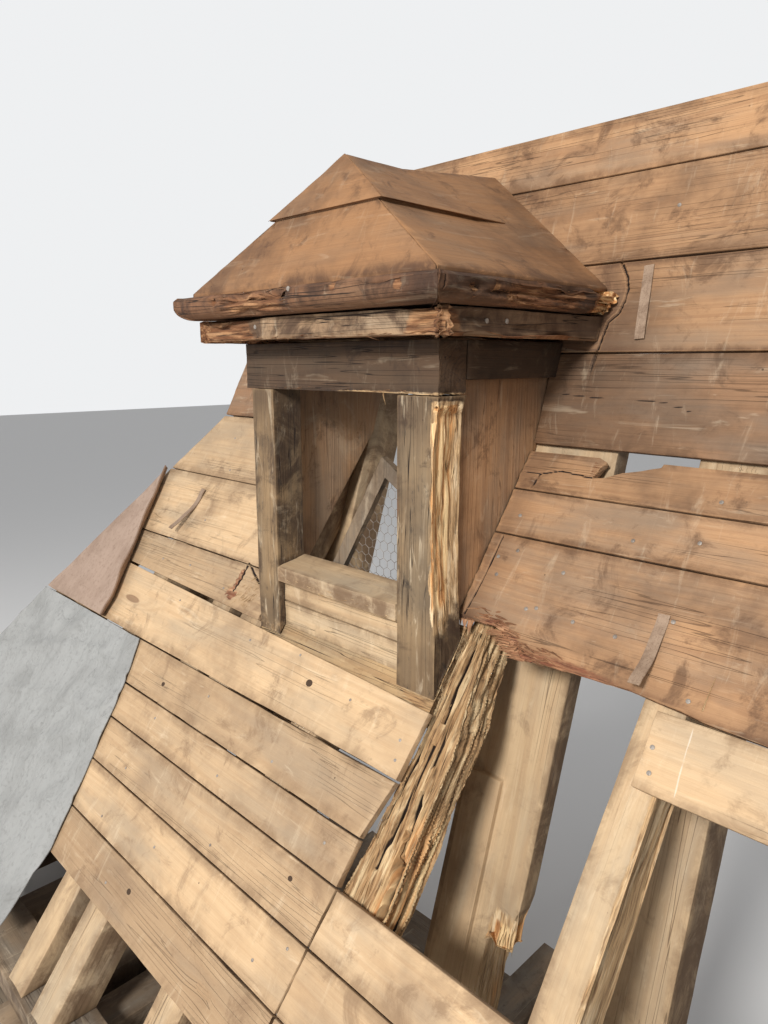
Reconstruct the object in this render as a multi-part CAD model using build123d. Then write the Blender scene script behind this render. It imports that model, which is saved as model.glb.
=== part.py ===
"""One side of a four-sided boarded tower roof, hip to hip, with its small hipped timber dormer.

X runs along the eaves, Y into the tower and Z up, in millimetres. The origin is on the ground
under the middle of the bay. The roof has a steep upper pitch and a flatter skirt, and distances
along a slope are counted from the knee where they meet: up is positive and down is negative.
"""
from build123d import *
import math
import os

os.makedirs("parts", exist_ok=True)

# Base timbers
wall_plate_height = 110
wall_plate_width = 160
inner_plate_back = 1310
tie_height = 150
tie_width = 120
tie_projection = 20
tie_tail = 60
eaves_plate_height = 80
eaves_plate_width = 150
eaves_plate_inset = 20

# Roof form
lower_pitch = 52.9
upper_pitch = 72.5
knee_height = 1910
roof_height = 2760
knee_half_width = 1165
board_thickness = 22
board_joint = 4

# Rafters and hips
main_rafter_depth = 140
main_rafter_width = 152
broad_rafter_width = 178
sprocket_depth = 112
sprocket_width = 107
broad_sprocket_width = 88
hip_width = 110
hip_depth = 140
top_plate_height = 100
top_plate_width = 160
dormer_rafter_overlap = 13
left_rafter_x = (595, 1020, 1450)
left_jack_x = 1880
broad_rafter_x = 859
broad_sprocket_x = 880
outer_rafter_x = 1290
right_jack_x = (1700, 2080)
trimmer_width = 113
split_foot_spread = 105
rotten_top_width = 67
rotten_top = 520
rotten_below = 860
splice_inset = 26
splice_width = 104
splice_thickness = 18
splice_top = 1071
splice_foot = 560
side_plank_width = 72
side_plank_depth = 60
side_plank_foot = 690
header_top = 520
header_bottom = 790
header_depth = 100

# Dormer front
dormer_width = 720
dormer_reach = 420
head_rise = 140
head_height = 126
head_overhang = 26
front_depth = 100
left_post_width = 102
right_post_width = 130
post_decay = ((0, 25), (11, 45), (15, 330), (8, 480), (0, 590))
sill_drop = 517
sill_thickness = 44
sill_fall = 22
sill_projection = 4
apron_setback = 20
apron_thickness = 26
apron_joint_drop = 625
apron_joint = 3

# Dormer sides
cheek_thickness = 28
cheek_setback = 28
cheek_clearance = 1
post_clearance = 1
side_plate_height = 91
side_plate_width = 62

# Dormer cornice and roof
course_lap = 60
fascia_height = 62
fascia_projection = 100
eave_height = 62
eave_front_projection = 161
eave_side_projection = 136
eave_round_start = 0.8
eave_round_height = 36
eave_top_round = 9
mitre_gap = 1
dormer_side_pitch = 33.5
dormer_front_pitch = 60
covering_thickness = 22
covering_inset = 40
covering_edge = 12
cap_thickness = 11
cap_rise = 185
valley_reach = 517
valley_rise = 56
ridge_thickness = 40
ridge_depth = 90
dormer_rafter_depth = 60
dormer_rafter_thickness = 50
dormer_rafter_setbacks = (150, 400)

# Boards, as distances down the skirt or up the spire from the knee
left_joints = (0, 275, 557)
slant_at_hip = 685
slant_at_dormer = 715
slant_at_end = 753
front_joints = (930, 1080, 1195)
butt_joints = (1332, 1480, 1625)
first_front_end = 17
front_ends = (8, -21, -24)
butt_ends = (-31, -38, -45)
right_joints = (0, 137, 268)
torn_top = 21
torn_notch = ((539, 21), (563, 32), (557, 41), (540, 79), (570, 75), (608, 56), (655, 44), (697, 31), (700, 21))
rotten_edge_start = 515
rotten_edge = ((374, 513), (450, 509), (510, 540), (545, 564), (700, 558), (805, 553), (960, 566), (1080, 570))
rotten_board_foot = 568
dormer_void_top = 250
upper_joints = (250, 489, 730)
loose_board_top = 570
loose_board_foot = 726
loose_board_start = 874
loose_board_end = 1352

# Coverings and metal
lead_thickness = 3
lead_outline = ((886, 932), (838, 1071), (813, 1190), (788, 1332), (758, 1471), (738, 1615), (775, 1884))
old_covering_thickness = 6
old_covering_outline = ((1314, 284), (1246, 557), (1208, 685), (1165, 848), (1169, 925))
strap_width = 25
strap_thickness = 3
right_strap = ((825, -377), (830, -544))
left_strap = ((-1012, -337), (-1028, -530))
spire_strap = ((573, 281), (557, 472))

# Netting frame in the window
netting_bar = 42
netting_thickness = 22
netting_setback = 106
netting_foot = (-189, -590)
netting_corner = (69, -169)
netting_pitch = 31.5
netting_heel = 175

# Worked out
low = math.radians(lower_pitch)
up = math.radians(upper_pitch)
tie_top = wall_plate_height + tie_height
eaves_top = tie_top + eaves_plate_height
skirt_run = (knee_height - eaves_top) / math.tan(low)
spire_run = (roof_height - knee_height) / math.tan(up)
bay_depth = tie_projection + skirt_run + spire_run + board_thickness / math.sin(up) + top_plate_width
bay_front = -bay_depth / 2
foot_y = bay_front + tie_projection
knee_y = foot_y + skirt_run
axis_y = knee_y + knee_half_width
front_y = knee_y - dormer_reach
half_dormer = dormer_width / 2
cheek_face = half_dormer - cheek_setback
dormer_rafter_x = cheek_face - dormer_rafter_overlap + broad_rafter_width / 2
head_level = knee_height + head_rise
fascia_level = head_level + head_height
eave_level = fascia_level + fascia_height
eave_top = eave_level + eave_height
far = 6000


def save(node, *shapes):
    """Writes one sub-part: a solid, or like solids that do not touch."""
    solids = [solid for shape in shapes for solid in shape.solids()]
    model = solids[0] if len(solids) == 1 else Compound(children=solids)
    export_step(model, f"parts/{node}.step")


def block(x_from, x_to, y_from, y_to, z_from, z_to):
    size = (x_to - x_from, y_to - y_from, z_to - z_from)
    return Pos((x_from + x_to) / 2, (y_from + y_to) / 2, (z_from + z_to) / 2) * Box(*size)


def along_x(points, x_from, x_to):
    """A timber of one YZ section between two places along the eaves."""
    face = Plane.YZ * Polygon(*points, align=None)
    return Pos(x_from, 0, 0) * extrude(face, amount=x_to - x_from, dir=(1, 0, 0))


def upright(points):
    """A tall prism from plan points."""
    return extrude(Pos(0, 0, -far / 2) * Polygon(*points, align=None), amount=far, dir=(0, 0, 1))


def mirrored(shape):
    """The same piece on the other side of the bay."""
    return mirror(shape, about=Plane.YZ)


# Planes and cutters
def bay_plan(inset=0):
    """The plan of the bay between its two hips, or a distance inside them."""
    reach = axis_y - inset * math.sqrt(2)
    front = bay_front - far / 10
    back = reach - 1
    return upright([(front - reach, front), (reach - front, front), (reach - back, back), (back - reach, back)])


def roof_section(depth, bottom=-far, top=far):
    """The outer line of the roof at a depth under the boards' outer face: foot, knee and head."""
    turn = (low + up) / 2
    knee_offset = depth / math.cos((up - low) / 2)
    y = knee_y + knee_offset * math.sin(turn)
    z = knee_height - knee_offset * math.cos(turn)
    return [(y - (z - bottom) / math.tan(low), bottom), (y, z), (y + (top - z) / math.tan(up), top)]


def outside_roof(depth):
    return along_x(roof_section(depth) + [(-2 * far, far), (-2 * far, -far)], -far, far)


def steep_y(height, depth=0):
    """Where the main rafters' outer face, or a plane inside it, stands at a height."""
    knee = roof_section(board_thickness)[1]
    return knee[0] + (height - knee[1]) / math.tan(up) + depth / math.sin(up)


def boards_y(height):
    """Where the outer face of the spire boards stands at a height."""
    return knee_y + (height - knee_height) / math.tan(up)


def along_slope(pitch, climb, x=0):
    """A point on the boards' outer face, from its distance up the slope."""
    return (x, knee_y + climb * math.cos(pitch), knee_height + climb * math.sin(pitch))


lower_plane = Plane(along_slope(low, 0), x_dir=(1, 0, 0), z_dir=(0, -math.sin(low), math.cos(low)))
upper_plane = Plane(along_slope(up, 0), x_dir=(1, 0, 0), z_dir=(0, -math.sin(up), math.cos(up)))
plan = bay_plan()
rafter_plan = bay_plan(hip_width / 2)
tie_plan = bay_plan(tie_width / 2)
outside_boards = outside_roof(0)
outside_rafters = outside_roof(board_thickness)
outside_steep = along_x([(steep_y(-far), -far), (steep_y(far), far), (-2 * far, far), (-2 * far, -far)], -far, far)
above_eaves = block(-far, far, -far, far, eaves_top, far)


# Base timbers
def wall_plate(y_from):
    return block(-far, far, y_from, y_from + wall_plate_width, 0, wall_plate_height) & plan


def tie_beam(x):
    tie = block(x - tie_width / 2, x + tie_width / 2, bay_front, tie_back, wall_plate_height, tie_top)
    return tie & tie_plan


def dragon_tie(side):
    """A tie laid from the corner of the tower towards its middle, under a hip."""
    length = far
    tie = block(-tie_width / 2, tie_width / 2, -length, 0, wall_plate_height, tie_top)
    corner_x = axis_y - bay_front
    bounds = block(-corner_x, corner_x, bay_front, tie_back, 0, far)
    return (Location((0, axis_y, 0), (0, 0, side * 45)) * tie) & bounds


inner_plate_y = bay_front + inner_plate_back - wall_plate_width
tie_back = inner_plate_y + wall_plate_width + tie_tail
right_rafter_x = (dormer_rafter_x, broad_rafter_x, outer_rafter_x)
tie_x = [-x for x in (dormer_rafter_x,) + left_rafter_x] + list(right_rafter_x)
eaves_front = foot_y + eaves_plate_inset
eaves_plate = block(-far, far, eaves_front, eaves_front + eaves_plate_width, tie_top, eaves_top)
save("outer_wall_plate", wall_plate(foot_y))
save("inner_wall_plate", wall_plate(inner_plate_y))
save("tie_beams", *[tie_beam(x) for x in tie_x])
save("dragon_ties", dragon_tie(-1), dragon_tie(1))
save("eaves_plate", eaves_plate & plan)


# Rafters
def main_outline(depth):
    top = roof_height - top_plate_height
    outer = [(steep_y(tie_top), tie_top), (steep_y(top), top)]
    return outer + [(steep_y(top, depth), top), (steep_y(tie_top, depth), tie_top)]


def sprocket_outline(depth):
    """From the eaves plate up to the knee, dying on the main rafters' outer face."""
    foot, knee = roof_section(board_thickness, eaves_top)[:2]
    heel_y = foot[0] + depth / math.sin(low)
    climb = (steep_y(eaves_top) - heel_y) / (1 / math.tan(low) - 1 / math.tan(up))
    return [foot, knee, (heel_y + climb / math.tan(low), eaves_top + climb), (heel_y, eaves_top)]


def main_rafter(x, width=main_rafter_width):
    return along_x(main_outline(main_rafter_depth), x - width / 2, x + width / 2) & rafter_plan


def sprocket(x, width=sprocket_width):
    return along_x(sprocket_outline(sprocket_depth), x - width / 2, x + width / 2) & rafter_plan


def hip(side, outline, outside):
    """A rafter under a hip, its back bevelled to the boards of both sides."""
    root = math.sqrt(2)
    drawn = [((y - axis_y) * root, z) for y, z in outline]
    rafter = Location((0, axis_y, 0), (0, 0, side * 45)) * along_x(drawn, -hip_width / 2, hip_width / 2)
    hip_plane = Plane(origin=(0, axis_y, 0), z_dir=(1, side, 0))
    return rafter - outside - mirror(outside, about=hip_plane)


trimmer_inner = half_dormer + cheek_clearance
trimmer_outer = trimmer_inner + trimmer_width
header_y = along_slope(low, -header_bottom)[1]
split_plan = upright([(trimmer_inner, far), (trimmer_inner, header_y),
                      (trimmer_inner - split_foot_spread, foot_y), (trimmer_inner - split_foot_spread, bay_front),
                      (trimmer_outer, bay_front), (trimmer_outer, far)])
whole_trimmer = along_x(sprocket_outline(sprocket_depth), 0, trimmer_outer)
left_trimmer = mirrored(whole_trimmer - block(-far, trimmer_inner, -far, far, -far, far))
rotten_level = knee_height - rotten_top * math.sin(low)
sound_level = knee_height - rotten_below * math.sin(low)
rotted_away = [(trimmer_inner + rotten_top_width, far), (trimmer_inner + rotten_top_width, rotten_level),
               (trimmer_outer, sound_level), (far, sound_level), (far, far)]
rotted_away = extrude(Plane.XZ * Polygon(*rotted_away, align=None), amount=far, both=True)
split_rafter = (whole_trimmer & split_plan) - rotted_away
rafter_side = dormer_rafter_x + broad_rafter_width / 2
rafter_edge = dormer_rafter_x - broad_rafter_width / 2
dormer_rafter = main_rafter(dormer_rafter_x, broad_rafter_width)
side_plank = along_x(main_outline(side_plank_depth), rafter_side, rafter_side + side_plank_width)
side_plank = side_plank & block(-far, far, -far, far, side_plank_foot, knee_height)
splice_line = [(steep_y(splice_foot, depth), splice_foot) for depth in (-splice_thickness, 0)]
splice_line += [(steep_y(splice_top, depth), splice_top) for depth in (0, -splice_thickness)]
splice = along_x(splice_line, rafter_edge + splice_inset, rafter_edge + splice_inset + splice_width)
save("main_rafters_left", mirrored(dormer_rafter), *[main_rafter(-x) for x in left_rafter_x[1:]],
     main_rafter(-left_rafter_x[0], sprocket_width))
save("main_rafters_right", dormer_rafter + side_plank + splice, main_rafter(broad_rafter_x, broad_rafter_width),
     main_rafter(outer_rafter_x))
save("lower_rafters_left", *[sprocket(-x) for x in left_rafter_x + (left_jack_x,)])
save("lower_rafters_right", *[sprocket(x) for x in (outer_rafter_x,) + right_jack_x])
save("broad_lower_rafter", sprocket(broad_sprocket_x, broad_sprocket_width))
save("split_rafter", split_rafter)
save("upper_hip_left", hip(-1, main_outline(hip_depth), outside_steep))
save("upper_hip_right", hip(1, main_outline(hip_depth), outside_steep))
save("lower_hip_left", hip(-1, sprocket_outline(hip_depth), outside_rafters))
save("lower_hip_right", hip(1, sprocket_outline(hip_depth), outside_rafters))
plate_foot = roof_height - top_plate_height
plate_back = steep_y(roof_height) + top_plate_width
top_plate = along_x([(steep_y(plate_foot), plate_foot), (steep_y(roof_height), roof_height),
                     (plate_back, roof_height), (plate_back, plate_foot)], -far, far)
save("top_plate", top_plate & plan)


# Boards
def slope_plate(plane, outline, thickness=board_thickness, lift=0):
    """A plate on a slope from (x, distance up the slope) corners, its outer face lifted off the boards."""
    face = plane.offset(lift) * Polygon(*outline, align=None)
    return extrude(face, amount=thickness, dir=-plane.z_dir) & plan


def hip_x(pitch, climb):
    """Half the width of the boarding at a distance up the slope, and a little more for the cut."""
    return knee_half_width - climb * math.cos(pitch) + board_thickness


def board(plane, pitch, foot, top, side=0, start=0):
    """A board between two joints: across the bay, or on one side from a start to the hip."""
    foot = foot + board_joint / 2
    top = top - board_joint / 2
    near = [(-hip_x(pitch, foot), foot), (-hip_x(pitch, top), top)]
    if side:
        near = [(side * start, foot), (side * start, top)]
    end = side if side else 1
    return slope_plate(plane, [near[0], (end * hip_x(pitch, foot), foot), (end * hip_x(pitch, top), top), near[1]])


def down(points, side=1):
    """Corners counted down the skirt, on one side of the bay."""
    return [(side * x, -distance) for x, distance in points]


def hip_corner(distance):
    return (hip_x(low, -distance), distance)


board_start = half_dormer + cheek_clearance
cheek_start = cheek_face + cheek_clearance
post_space = block(-half_dormer - post_clearance, half_dormer + post_clearance,
                   front_y - far, front_y + front_depth + post_clearance, 0, far)
half_joint = board_joint / 2
header_outline = down([(-far, header_bottom), (far, header_bottom), (far, header_top), (-far, header_top)])
header = slope_plate(lower_plane, header_outline, header_depth, -board_thickness)
header = header & block(-trimmer_inner, trimmer_inner, -far, far, -far, far)
middle_outline = down([(-sprocket_width / 2, header_bottom), (-sprocket_width / 2, far / 2),
                       (sprocket_width / 2, far / 2), (sprocket_width / 2, header_bottom)])
middle_rafter = slope_plate(lower_plane, middle_outline, sprocket_depth, -board_thickness) & above_eaves
save("lower_rafters_middle", left_trimmer, middle_rafter)
save("dormer_header", header)

slant = [(board_start, left_joints[-1] + half_joint), hip_corner(left_joints[-1] + half_joint),
         hip_corner(slant_at_hip - half_joint), (board_start, slant_at_dormer - half_joint)]
left_boards = [board(lower_plane, low, -foot, -top, -1, cheek_start) - post_space
               for top, foot in zip(left_joints, left_joints[1:])]
save("left_boards", *left_boards, slope_plate(lower_plane, down(slant, -1)))


def board_ends(ends, joints):
    """The right ends of the front boards at their joints, counted from the dormer's right side."""
    return [(half_dormer + end, joint + half_joint) for end, joint in zip(ends, joints)]


front_boards = []
slanted_end = (half_dormer + first_front_end, slant_at_end + half_joint)
edges = [slanted_end] + board_ends(front_ends + butt_ends, front_joints + butt_joints)
for (x_top, top), (x_foot, foot) in zip(edges, edges[1:]):
    hip_top = slant_at_hip + half_joint if (x_top, top) == slanted_end else top
    corners = [(x_top, top), (x_foot, foot - board_joint), (-hip_x(low, -foot), foot - board_joint)]
    corners += [(-hip_x(low, -hip_top), hip_top)]
    front_boards.append(slope_plate(lower_plane, down(corners)))
save("front_boards", *front_boards)

foot_boards = []
butts = board_ends(front_ends[-1:] + butt_ends, front_joints[-1:] + butt_joints)
for (x_top, top), (x_foot, foot) in zip(butts, butts[1:]):
    corners = [(x_top + board_joint, top), hip_corner(top), hip_corner(foot - board_joint)]
    corners += [(x_foot + board_joint, foot - board_joint)]
    foot_boards.append(slope_plate(lower_plane, down(corners)))
save("foot_boards_right", *foot_boards)

torn = [(cheek_start, torn_top)] + list(torn_notch) + [hip_corner(torn_top)]
torn += [hip_corner(right_joints[1] - half_joint), (cheek_start, right_joints[1] - half_joint)]
rotten = [(cheek_start, right_joints[-1] + half_joint), (cheek_start, rotten_edge_start)] + list(rotten_edge)
rotten += [hip_corner(rotten_board_foot)]
rotten += [hip_corner(right_joints[-1] + half_joint)]
save("right_boards", slope_plate(lower_plane, down(torn)),
     board(lower_plane, low, -right_joints[2], -right_joints[1], 1, cheek_start),
     slope_plate(lower_plane, down(rotten)))

upper_side = board(upper_plane, up, 0, dormer_void_top, 1, cheek_start)
spire_climb = (roof_height - knee_height) / math.sin(up)
tops = upper_joints + (spire_climb + half_joint,)
save("knee_boards", upper_side, mirrored(upper_side))
save("spire_boards", *[board(upper_plane, up, foot, top) for foot, top in zip(tops, tops[1:])])
loose = [(loose_board_start, loose_board_top), (loose_board_end, loose_board_top)]
loose += [(loose_board_end, loose_board_foot), (loose_board_start, loose_board_foot)]
save("loose_board", slope_plate(lower_plane, down(loose)))


# Dormer front and sides
def dormer_block(x_from, x_to, y_from, y_to, z_from, z_to):
    """A block from the dormer's front plane and the underside of its head."""
    return block(x_from, x_to, front_y + y_from, front_y + y_to, head_level + z_from, head_level + z_to)


window_left = left_post_width - half_dormer
window_right = half_dormer - right_post_width
left_post = dormer_block(-half_dormer, window_left, 0, front_depth, -far / 4, 0)
right_post = dormer_block(window_right, half_dormer, 0, front_depth, -far / 4, 0)
head = dormer_block(-half_dormer - head_overhang, half_dormer, 0, front_depth, 0, head_height)
save("left_post", left_post & outside_rafters)
decay_line = [(half_dormer - depth, head_level - drop) for depth, drop in post_decay]
decay_line += [(half_dormer + front_depth, decay_line[-1][1]), (half_dormer + front_depth, decay_line[0][1])]
decayed_side = extrude(Plane.XZ * Polygon(*decay_line, align=None), amount=far, both=True)
save("right_post", (right_post & outside_rafters) - decayed_side)
save("head_beam", head)

sill_outline = [(-sill_projection, -sill_drop), (front_depth, sill_fall - sill_drop)]
sill_outline += [(front_depth, -sill_drop - sill_thickness), (-sill_projection, -sill_drop - sill_thickness)]
sill = along_x([(front_y + y, head_level + z) for y, z in sill_outline], window_left, window_right)
save("window_sill", sill)

apron_back = apron_setback + apron_thickness
apron_top = dormer_block(window_left, window_right, apron_setback, apron_back,
                         -apron_joint_drop, -sill_drop - sill_thickness)
apron_foot = dormer_block(window_left, window_right, apron_setback, apron_back,
                          -far / 4, -apron_joint_drop - apron_joint)
save("apron_boards", apron_top & outside_rafters, apron_foot & outside_rafters)

plate_level = head_height - side_plate_height
cheek = dormer_block(cheek_face - cheek_thickness, cheek_face, front_depth, far / 4, -far / 4, plate_level)
cheek = cheek & outside_rafters
side_plate = dormer_block(half_dormer - side_plate_width, half_dormer, front_depth, far / 4,
                          plate_level, head_height)
side_plate = side_plate & outside_boards
save("left_cheek", mirrored(cheek))
save("right_cheek", cheek)
save("side_plates", side_plate, mirrored(side_plate))


# Dormer cornice
def course(section, side_projection, front_projection):
    """A course round the dormer's three sides from a section drawn by its projection, mitred in plan."""
    side_x = half_dormer + side_projection
    inner_x = half_dormer - course_lap
    front_plane = Plane((0, front_y, 0), x_dir=(0, -1, 0), z_dir=(-1, 0, 0))
    side_plane = Plane((half_dormer, 0, 0), x_dir=(1, 0, 0), z_dir=(0, -1, 0))
    front_line = front_y - front_projection
    inner_line = front_y + course_lap
    front_plan = upright([(-side_x, front_line), (side_x, front_line), (inner_x, inner_line), (-inner_x, inner_line)])
    side_cut = upright([(-side_x - mitre_gap, front_line), (side_x + mitre_gap, front_line),
                        (inner_x + mitre_gap, inner_line), (-inner_x - mitre_gap, inner_line)])
    front = extrude(front_plane * section(front_projection), amount=far / 4, both=True) & front_plan
    run = extrude(side_plane * section(side_projection), amount=far / 4, both=True) - side_cut
    run = run & block(0, far, front_line, far, 0, far) & outside_boards
    return front, run, mirrored(run)


def fascia_section(projection):
    return Polygon((-course_lap, fascia_level), (projection, fascia_level), (projection, eave_level),
                   (-course_lap, eave_level), align=None)


def eave_section(projection):
    """A plank with a rounded nose, widest above the middle of its edge."""
    reach = projection + course_lap
    bottom = eave_round_start * reach - course_lap
    round_level = eave_level + eave_round_height
    outline = Polyline((bottom, eave_level), (-course_lap, eave_level), (-course_lap, eave_top),
                       (projection - eave_top_round, eave_top), (projection, eave_top - eave_top_round),
                       (projection, round_level))
    nose = EllipticalCenterArc((bottom, round_level), projection - bottom, eave_round_height, -90, arc_size=90)
    return make_face(outline + nose)


save("cornice_fascia", *course(fascia_section, fascia_projection, fascia_projection))
save("eave_moulding", *course(eave_section, eave_side_projection, eave_front_projection))

# Dormer roof
side_tan = math.tan(math.radians(dormer_side_pitch))
front_tan = math.tan(math.radians(dormer_front_pitch))
covering_x = half_dormer + eave_side_projection - covering_inset
covering_y = front_y - eave_front_projection + covering_inset
covering_foot = eave_top + covering_edge
ridge_level = covering_foot + covering_x * side_tan
ridge_start = covering_y + covering_x * side_tan / front_tan


def gable(depth):
    """Everything under the dormer's two side slopes, at a depth under their outer faces."""
    apex = ridge_level - depth / math.cos(math.radians(dormer_side_pitch))
    half = (apex - eave_top) / side_tan
    triangle = Plane.XZ * Polygon((-half, eave_top), (half, eave_top), (0, apex), align=None)
    return extrude(triangle, amount=far / 2, both=True)


def behind_front(depth):
    """Everything behind the dormer's front slope, at a depth under its outer face."""
    foot = covering_y - (covering_edge - depth / math.cos(math.radians(dormer_front_pitch))) / front_tan
    return along_x([(foot, eave_top), (foot + far / front_tan / 4, eave_top + far / 4), (far, eave_top + far / 4),
                    (far, eave_top)], -far, far)


roof_body = (gable(0) & behind_front(0)) & block(-covering_x, covering_x, covering_y, far, 0, far) & outside_boards
under_body = gable(covering_thickness) & behind_front(covering_thickness) & outside_boards
valley_corners = [(covering_x, covering_foot), (0, ridge_level), (0, ridge_level + valley_rise)]
valley_corners = [(x, boards_y(z), z) for x, z in valley_corners]
valley_corners[1] = (0, boards_y(ridge_level) - valley_reach, ridge_level)
valley_wedge = extrude(make_face(Polyline(*valley_corners, close=True)), amount=roof_height, dir=(0, 0, -1))
cap = gable(-cap_thickness) & behind_front(-cap_thickness) & outside_boards
cap = cap & block(-covering_x, covering_x, covering_y, far, eave_top + cap_rise, far)
cap = cap - valley_wedge - mirrored(valley_wedge)
valley_board = (valley_wedge - gable(0)) & outside_boards & block(0, far, -far, far, covering_foot, far)
shell = (roof_body + cap) - under_body
front_plan = upright([(-covering_x, covering_y), (covering_x, covering_y), (0, ridge_start)])
save("dormer_front_slope", shell & front_plan)
side_shell = ((shell - front_plan) & block(0, far, -far, far, -far, far)) + valley_board
save("dormer_right_slope", side_shell)
save("dormer_left_slope", mirrored(side_shell))

ridge_reach = ridge_level - covering_thickness / math.cos(math.radians(dormer_side_pitch)) - ridge_depth
ridge = under_body & block(-ridge_thickness / 2, ridge_thickness / 2, -far, far, ridge_reach, far)
rafter_shell = under_body - gable(covering_thickness + dormer_rafter_depth)
beside_ridge = block(ridge_thickness / 2, far, -far, far, -far, far)
rafters = []
for setback in dormer_rafter_setbacks:
    y = front_y + setback
    rafter = rafter_shell & beside_ridge & block(0, far, y, y + dormer_rafter_thickness, 0, far)
    rafters += [rafter, mirrored(rafter)]
hip_run = math.hypot(covering_x, ridge_start - covering_y)
hip_turn = math.degrees(math.atan2(ridge_start - covering_y, -covering_x))
hip_slab = block(0, hip_run, -dormer_rafter_thickness / 2, dormer_rafter_thickness / 2, eave_top, far)
hip_slab = Location((covering_x, covering_y, 0), (0, 0, hip_turn)) * hip_slab
hip_depth_body = under_body - (gable(covering_thickness + dormer_rafter_depth)
                               & behind_front(covering_thickness + dormer_rafter_depth))
dormer_hip = hip_depth_body & beside_ridge & hip_slab
save("dormer_ridge", ridge)
save("dormer_rafters", *rafters)
save("dormer_hips", dormer_hip, mirrored(dormer_hip))

# Netting frame, leaning in the window against the right cheek
lean = math.tan(math.radians(netting_pitch))
netting_end = cheek_face - cheek_thickness
netting_outline = [netting_foot, netting_corner,
                   (netting_end, netting_corner[1] - (netting_end - netting_corner[0]) * lean),
                   (netting_heel, netting_foot[1])]
netting_face = Polygon(*netting_outline, align=None)
netting_face = netting_face - offset(netting_face, amount=-netting_bar, kind=Kind.INTERSECTION)
netting_plane = Plane((0, front_y + netting_setback, head_level), x_dir=(1, 0, 0), z_dir=(0, -1, 0))
netting = extrude(netting_plane * netting_face, amount=netting_thickness, dir=(0, 1, 0))
save("netting_frame", netting & outside_rafters)


# Coverings left on the boards
def strap(plane, start, end):
    """A flat metal strap lying on the boards between two points."""
    length = math.dist(start, end)
    across = ((end[1] - start[1]) / length * strap_width / 2, (start[0] - end[0]) / length * strap_width / 2)
    corners = [(start[0] + across[0], start[1] + across[1]), (end[0] + across[0], end[1] + across[1])]
    corners += [(end[0] - across[0], end[1] - across[1]), (start[0] - across[0], start[1] - across[1])]
    return slope_plate(plane, corners, strap_thickness, strap_thickness)


lead = [hip_corner(lead_outline[0][1])] + list(lead_outline) + [hip_corner(lead_outline[-1][1])]
old = [hip_corner(old_covering_outline[0][1])] + list(old_covering_outline)
old += [hip_corner(old_covering_outline[-1][1])]
save("lead_sheet", slope_plate(lower_plane, down(lead, -1), lead_thickness, lead_thickness))
save("old_covering", slope_plate(lower_plane, down(old, -1), old_covering_thickness, old_covering_thickness))
save("metal_straps", strap(lower_plane, *right_strap), strap(lower_plane, *left_strap),
     strap(upper_plane, *spire_strap))
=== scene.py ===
"""The boarded tower roof and its dormer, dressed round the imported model."""
import contextlib
import math
import random

import bpy
from mathutils import Matrix, Vector
from mathutils.noise import noise


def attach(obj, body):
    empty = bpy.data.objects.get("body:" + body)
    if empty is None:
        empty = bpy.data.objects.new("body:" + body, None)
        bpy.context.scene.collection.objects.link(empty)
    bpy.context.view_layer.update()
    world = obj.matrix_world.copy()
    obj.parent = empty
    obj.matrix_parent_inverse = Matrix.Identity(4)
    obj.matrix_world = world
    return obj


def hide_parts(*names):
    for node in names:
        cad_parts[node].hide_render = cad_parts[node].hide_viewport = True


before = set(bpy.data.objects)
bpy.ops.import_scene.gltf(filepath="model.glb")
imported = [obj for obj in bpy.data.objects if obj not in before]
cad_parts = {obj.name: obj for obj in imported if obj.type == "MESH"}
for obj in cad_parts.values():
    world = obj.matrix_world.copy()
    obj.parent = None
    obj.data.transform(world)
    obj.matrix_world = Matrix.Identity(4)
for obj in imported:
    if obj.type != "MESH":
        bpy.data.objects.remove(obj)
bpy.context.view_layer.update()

# Camera, solved from the straight timbers
CAMERA_PLACE = (1.439, -1.2808, 2.128)
CAMERA_TURN = 45.29
CAMERA_DIP = 11.72
FOCAL_PIXELS = 728.6
PHOTO_HEIGHT = 1024
SENSOR = 36

# Studio
FLOOR_WIDTH = 60
FLOOR_SHADE = (216, 214, 210)
SKY = (0.93, 0.95, 1, 1)
SKY_STRENGTH = 0.5
BACKDROP = (0.86, 0.87, 0.88, 1)

# Roof, in metres and radians
SKIRT = math.radians(52.9)
SPIRE = math.radians(72.5)
KNEE = Vector((0, 0.378155, 1.91))
EAVE_SIDE = 0.496
EAVE_FRONT = -0.203
FASCIA_SIDE = 0.46
FASCIA_FRONT = -0.142

# Directions
EAST = Vector((1, 0, 0))
INWARD = Vector((0, 1, 0))
UP = Vector((0, 0, 1))
UP_SKIRT = Vector((0, math.cos(SKIRT), math.sin(SKIRT)))
OFF_SKIRT = Vector((0, -math.sin(SKIRT), math.cos(SKIRT)))
UP_SPIRE = Vector((0, math.cos(SPIRE), math.sin(SPIRE)))
OFF_SPIRE = Vector((0, -math.sin(SPIRE), math.cos(SPIRE)))


# Objects and their meshes
def placed(name, data, place=(0, 0, 0), turn=(0, 0, 0)):
    """A new object in the scene."""
    thing = bpy.data.objects.new(name, data)
    thing.location = place
    thing.rotation_euler = turn
    bpy.context.collection.objects.link(thing)
    return thing


def new_shape(add, **settings):
    """A plain shape, as the one selected object."""
    bpy.ops.object.select_all(action="DESELECT")
    add(**settings)
    return bpy.context.object


def select_only(*pieces):
    bpy.ops.object.select_all(action="DESELECT")
    for piece in pieces:
        piece.select_set(True)
    bpy.context.view_layer.objects.active = pieces[0]


def joined(parts, name):
    """Objects made into one."""
    select_only(*parts)
    if len(parts) > 1:
        bpy.ops.object.join()
    parts[0].name = name
    return parts[0]


def changed(piece, kind, **settings):
    """Gives a piece's mesh what a modifier makes of it."""
    select_only(piece)
    modifier = piece.modifiers.new("change", kind)
    for key, setting in settings.items():
        setattr(modifier, key, setting)
    bpy.ops.object.modifier_apply(modifier="change")


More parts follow.
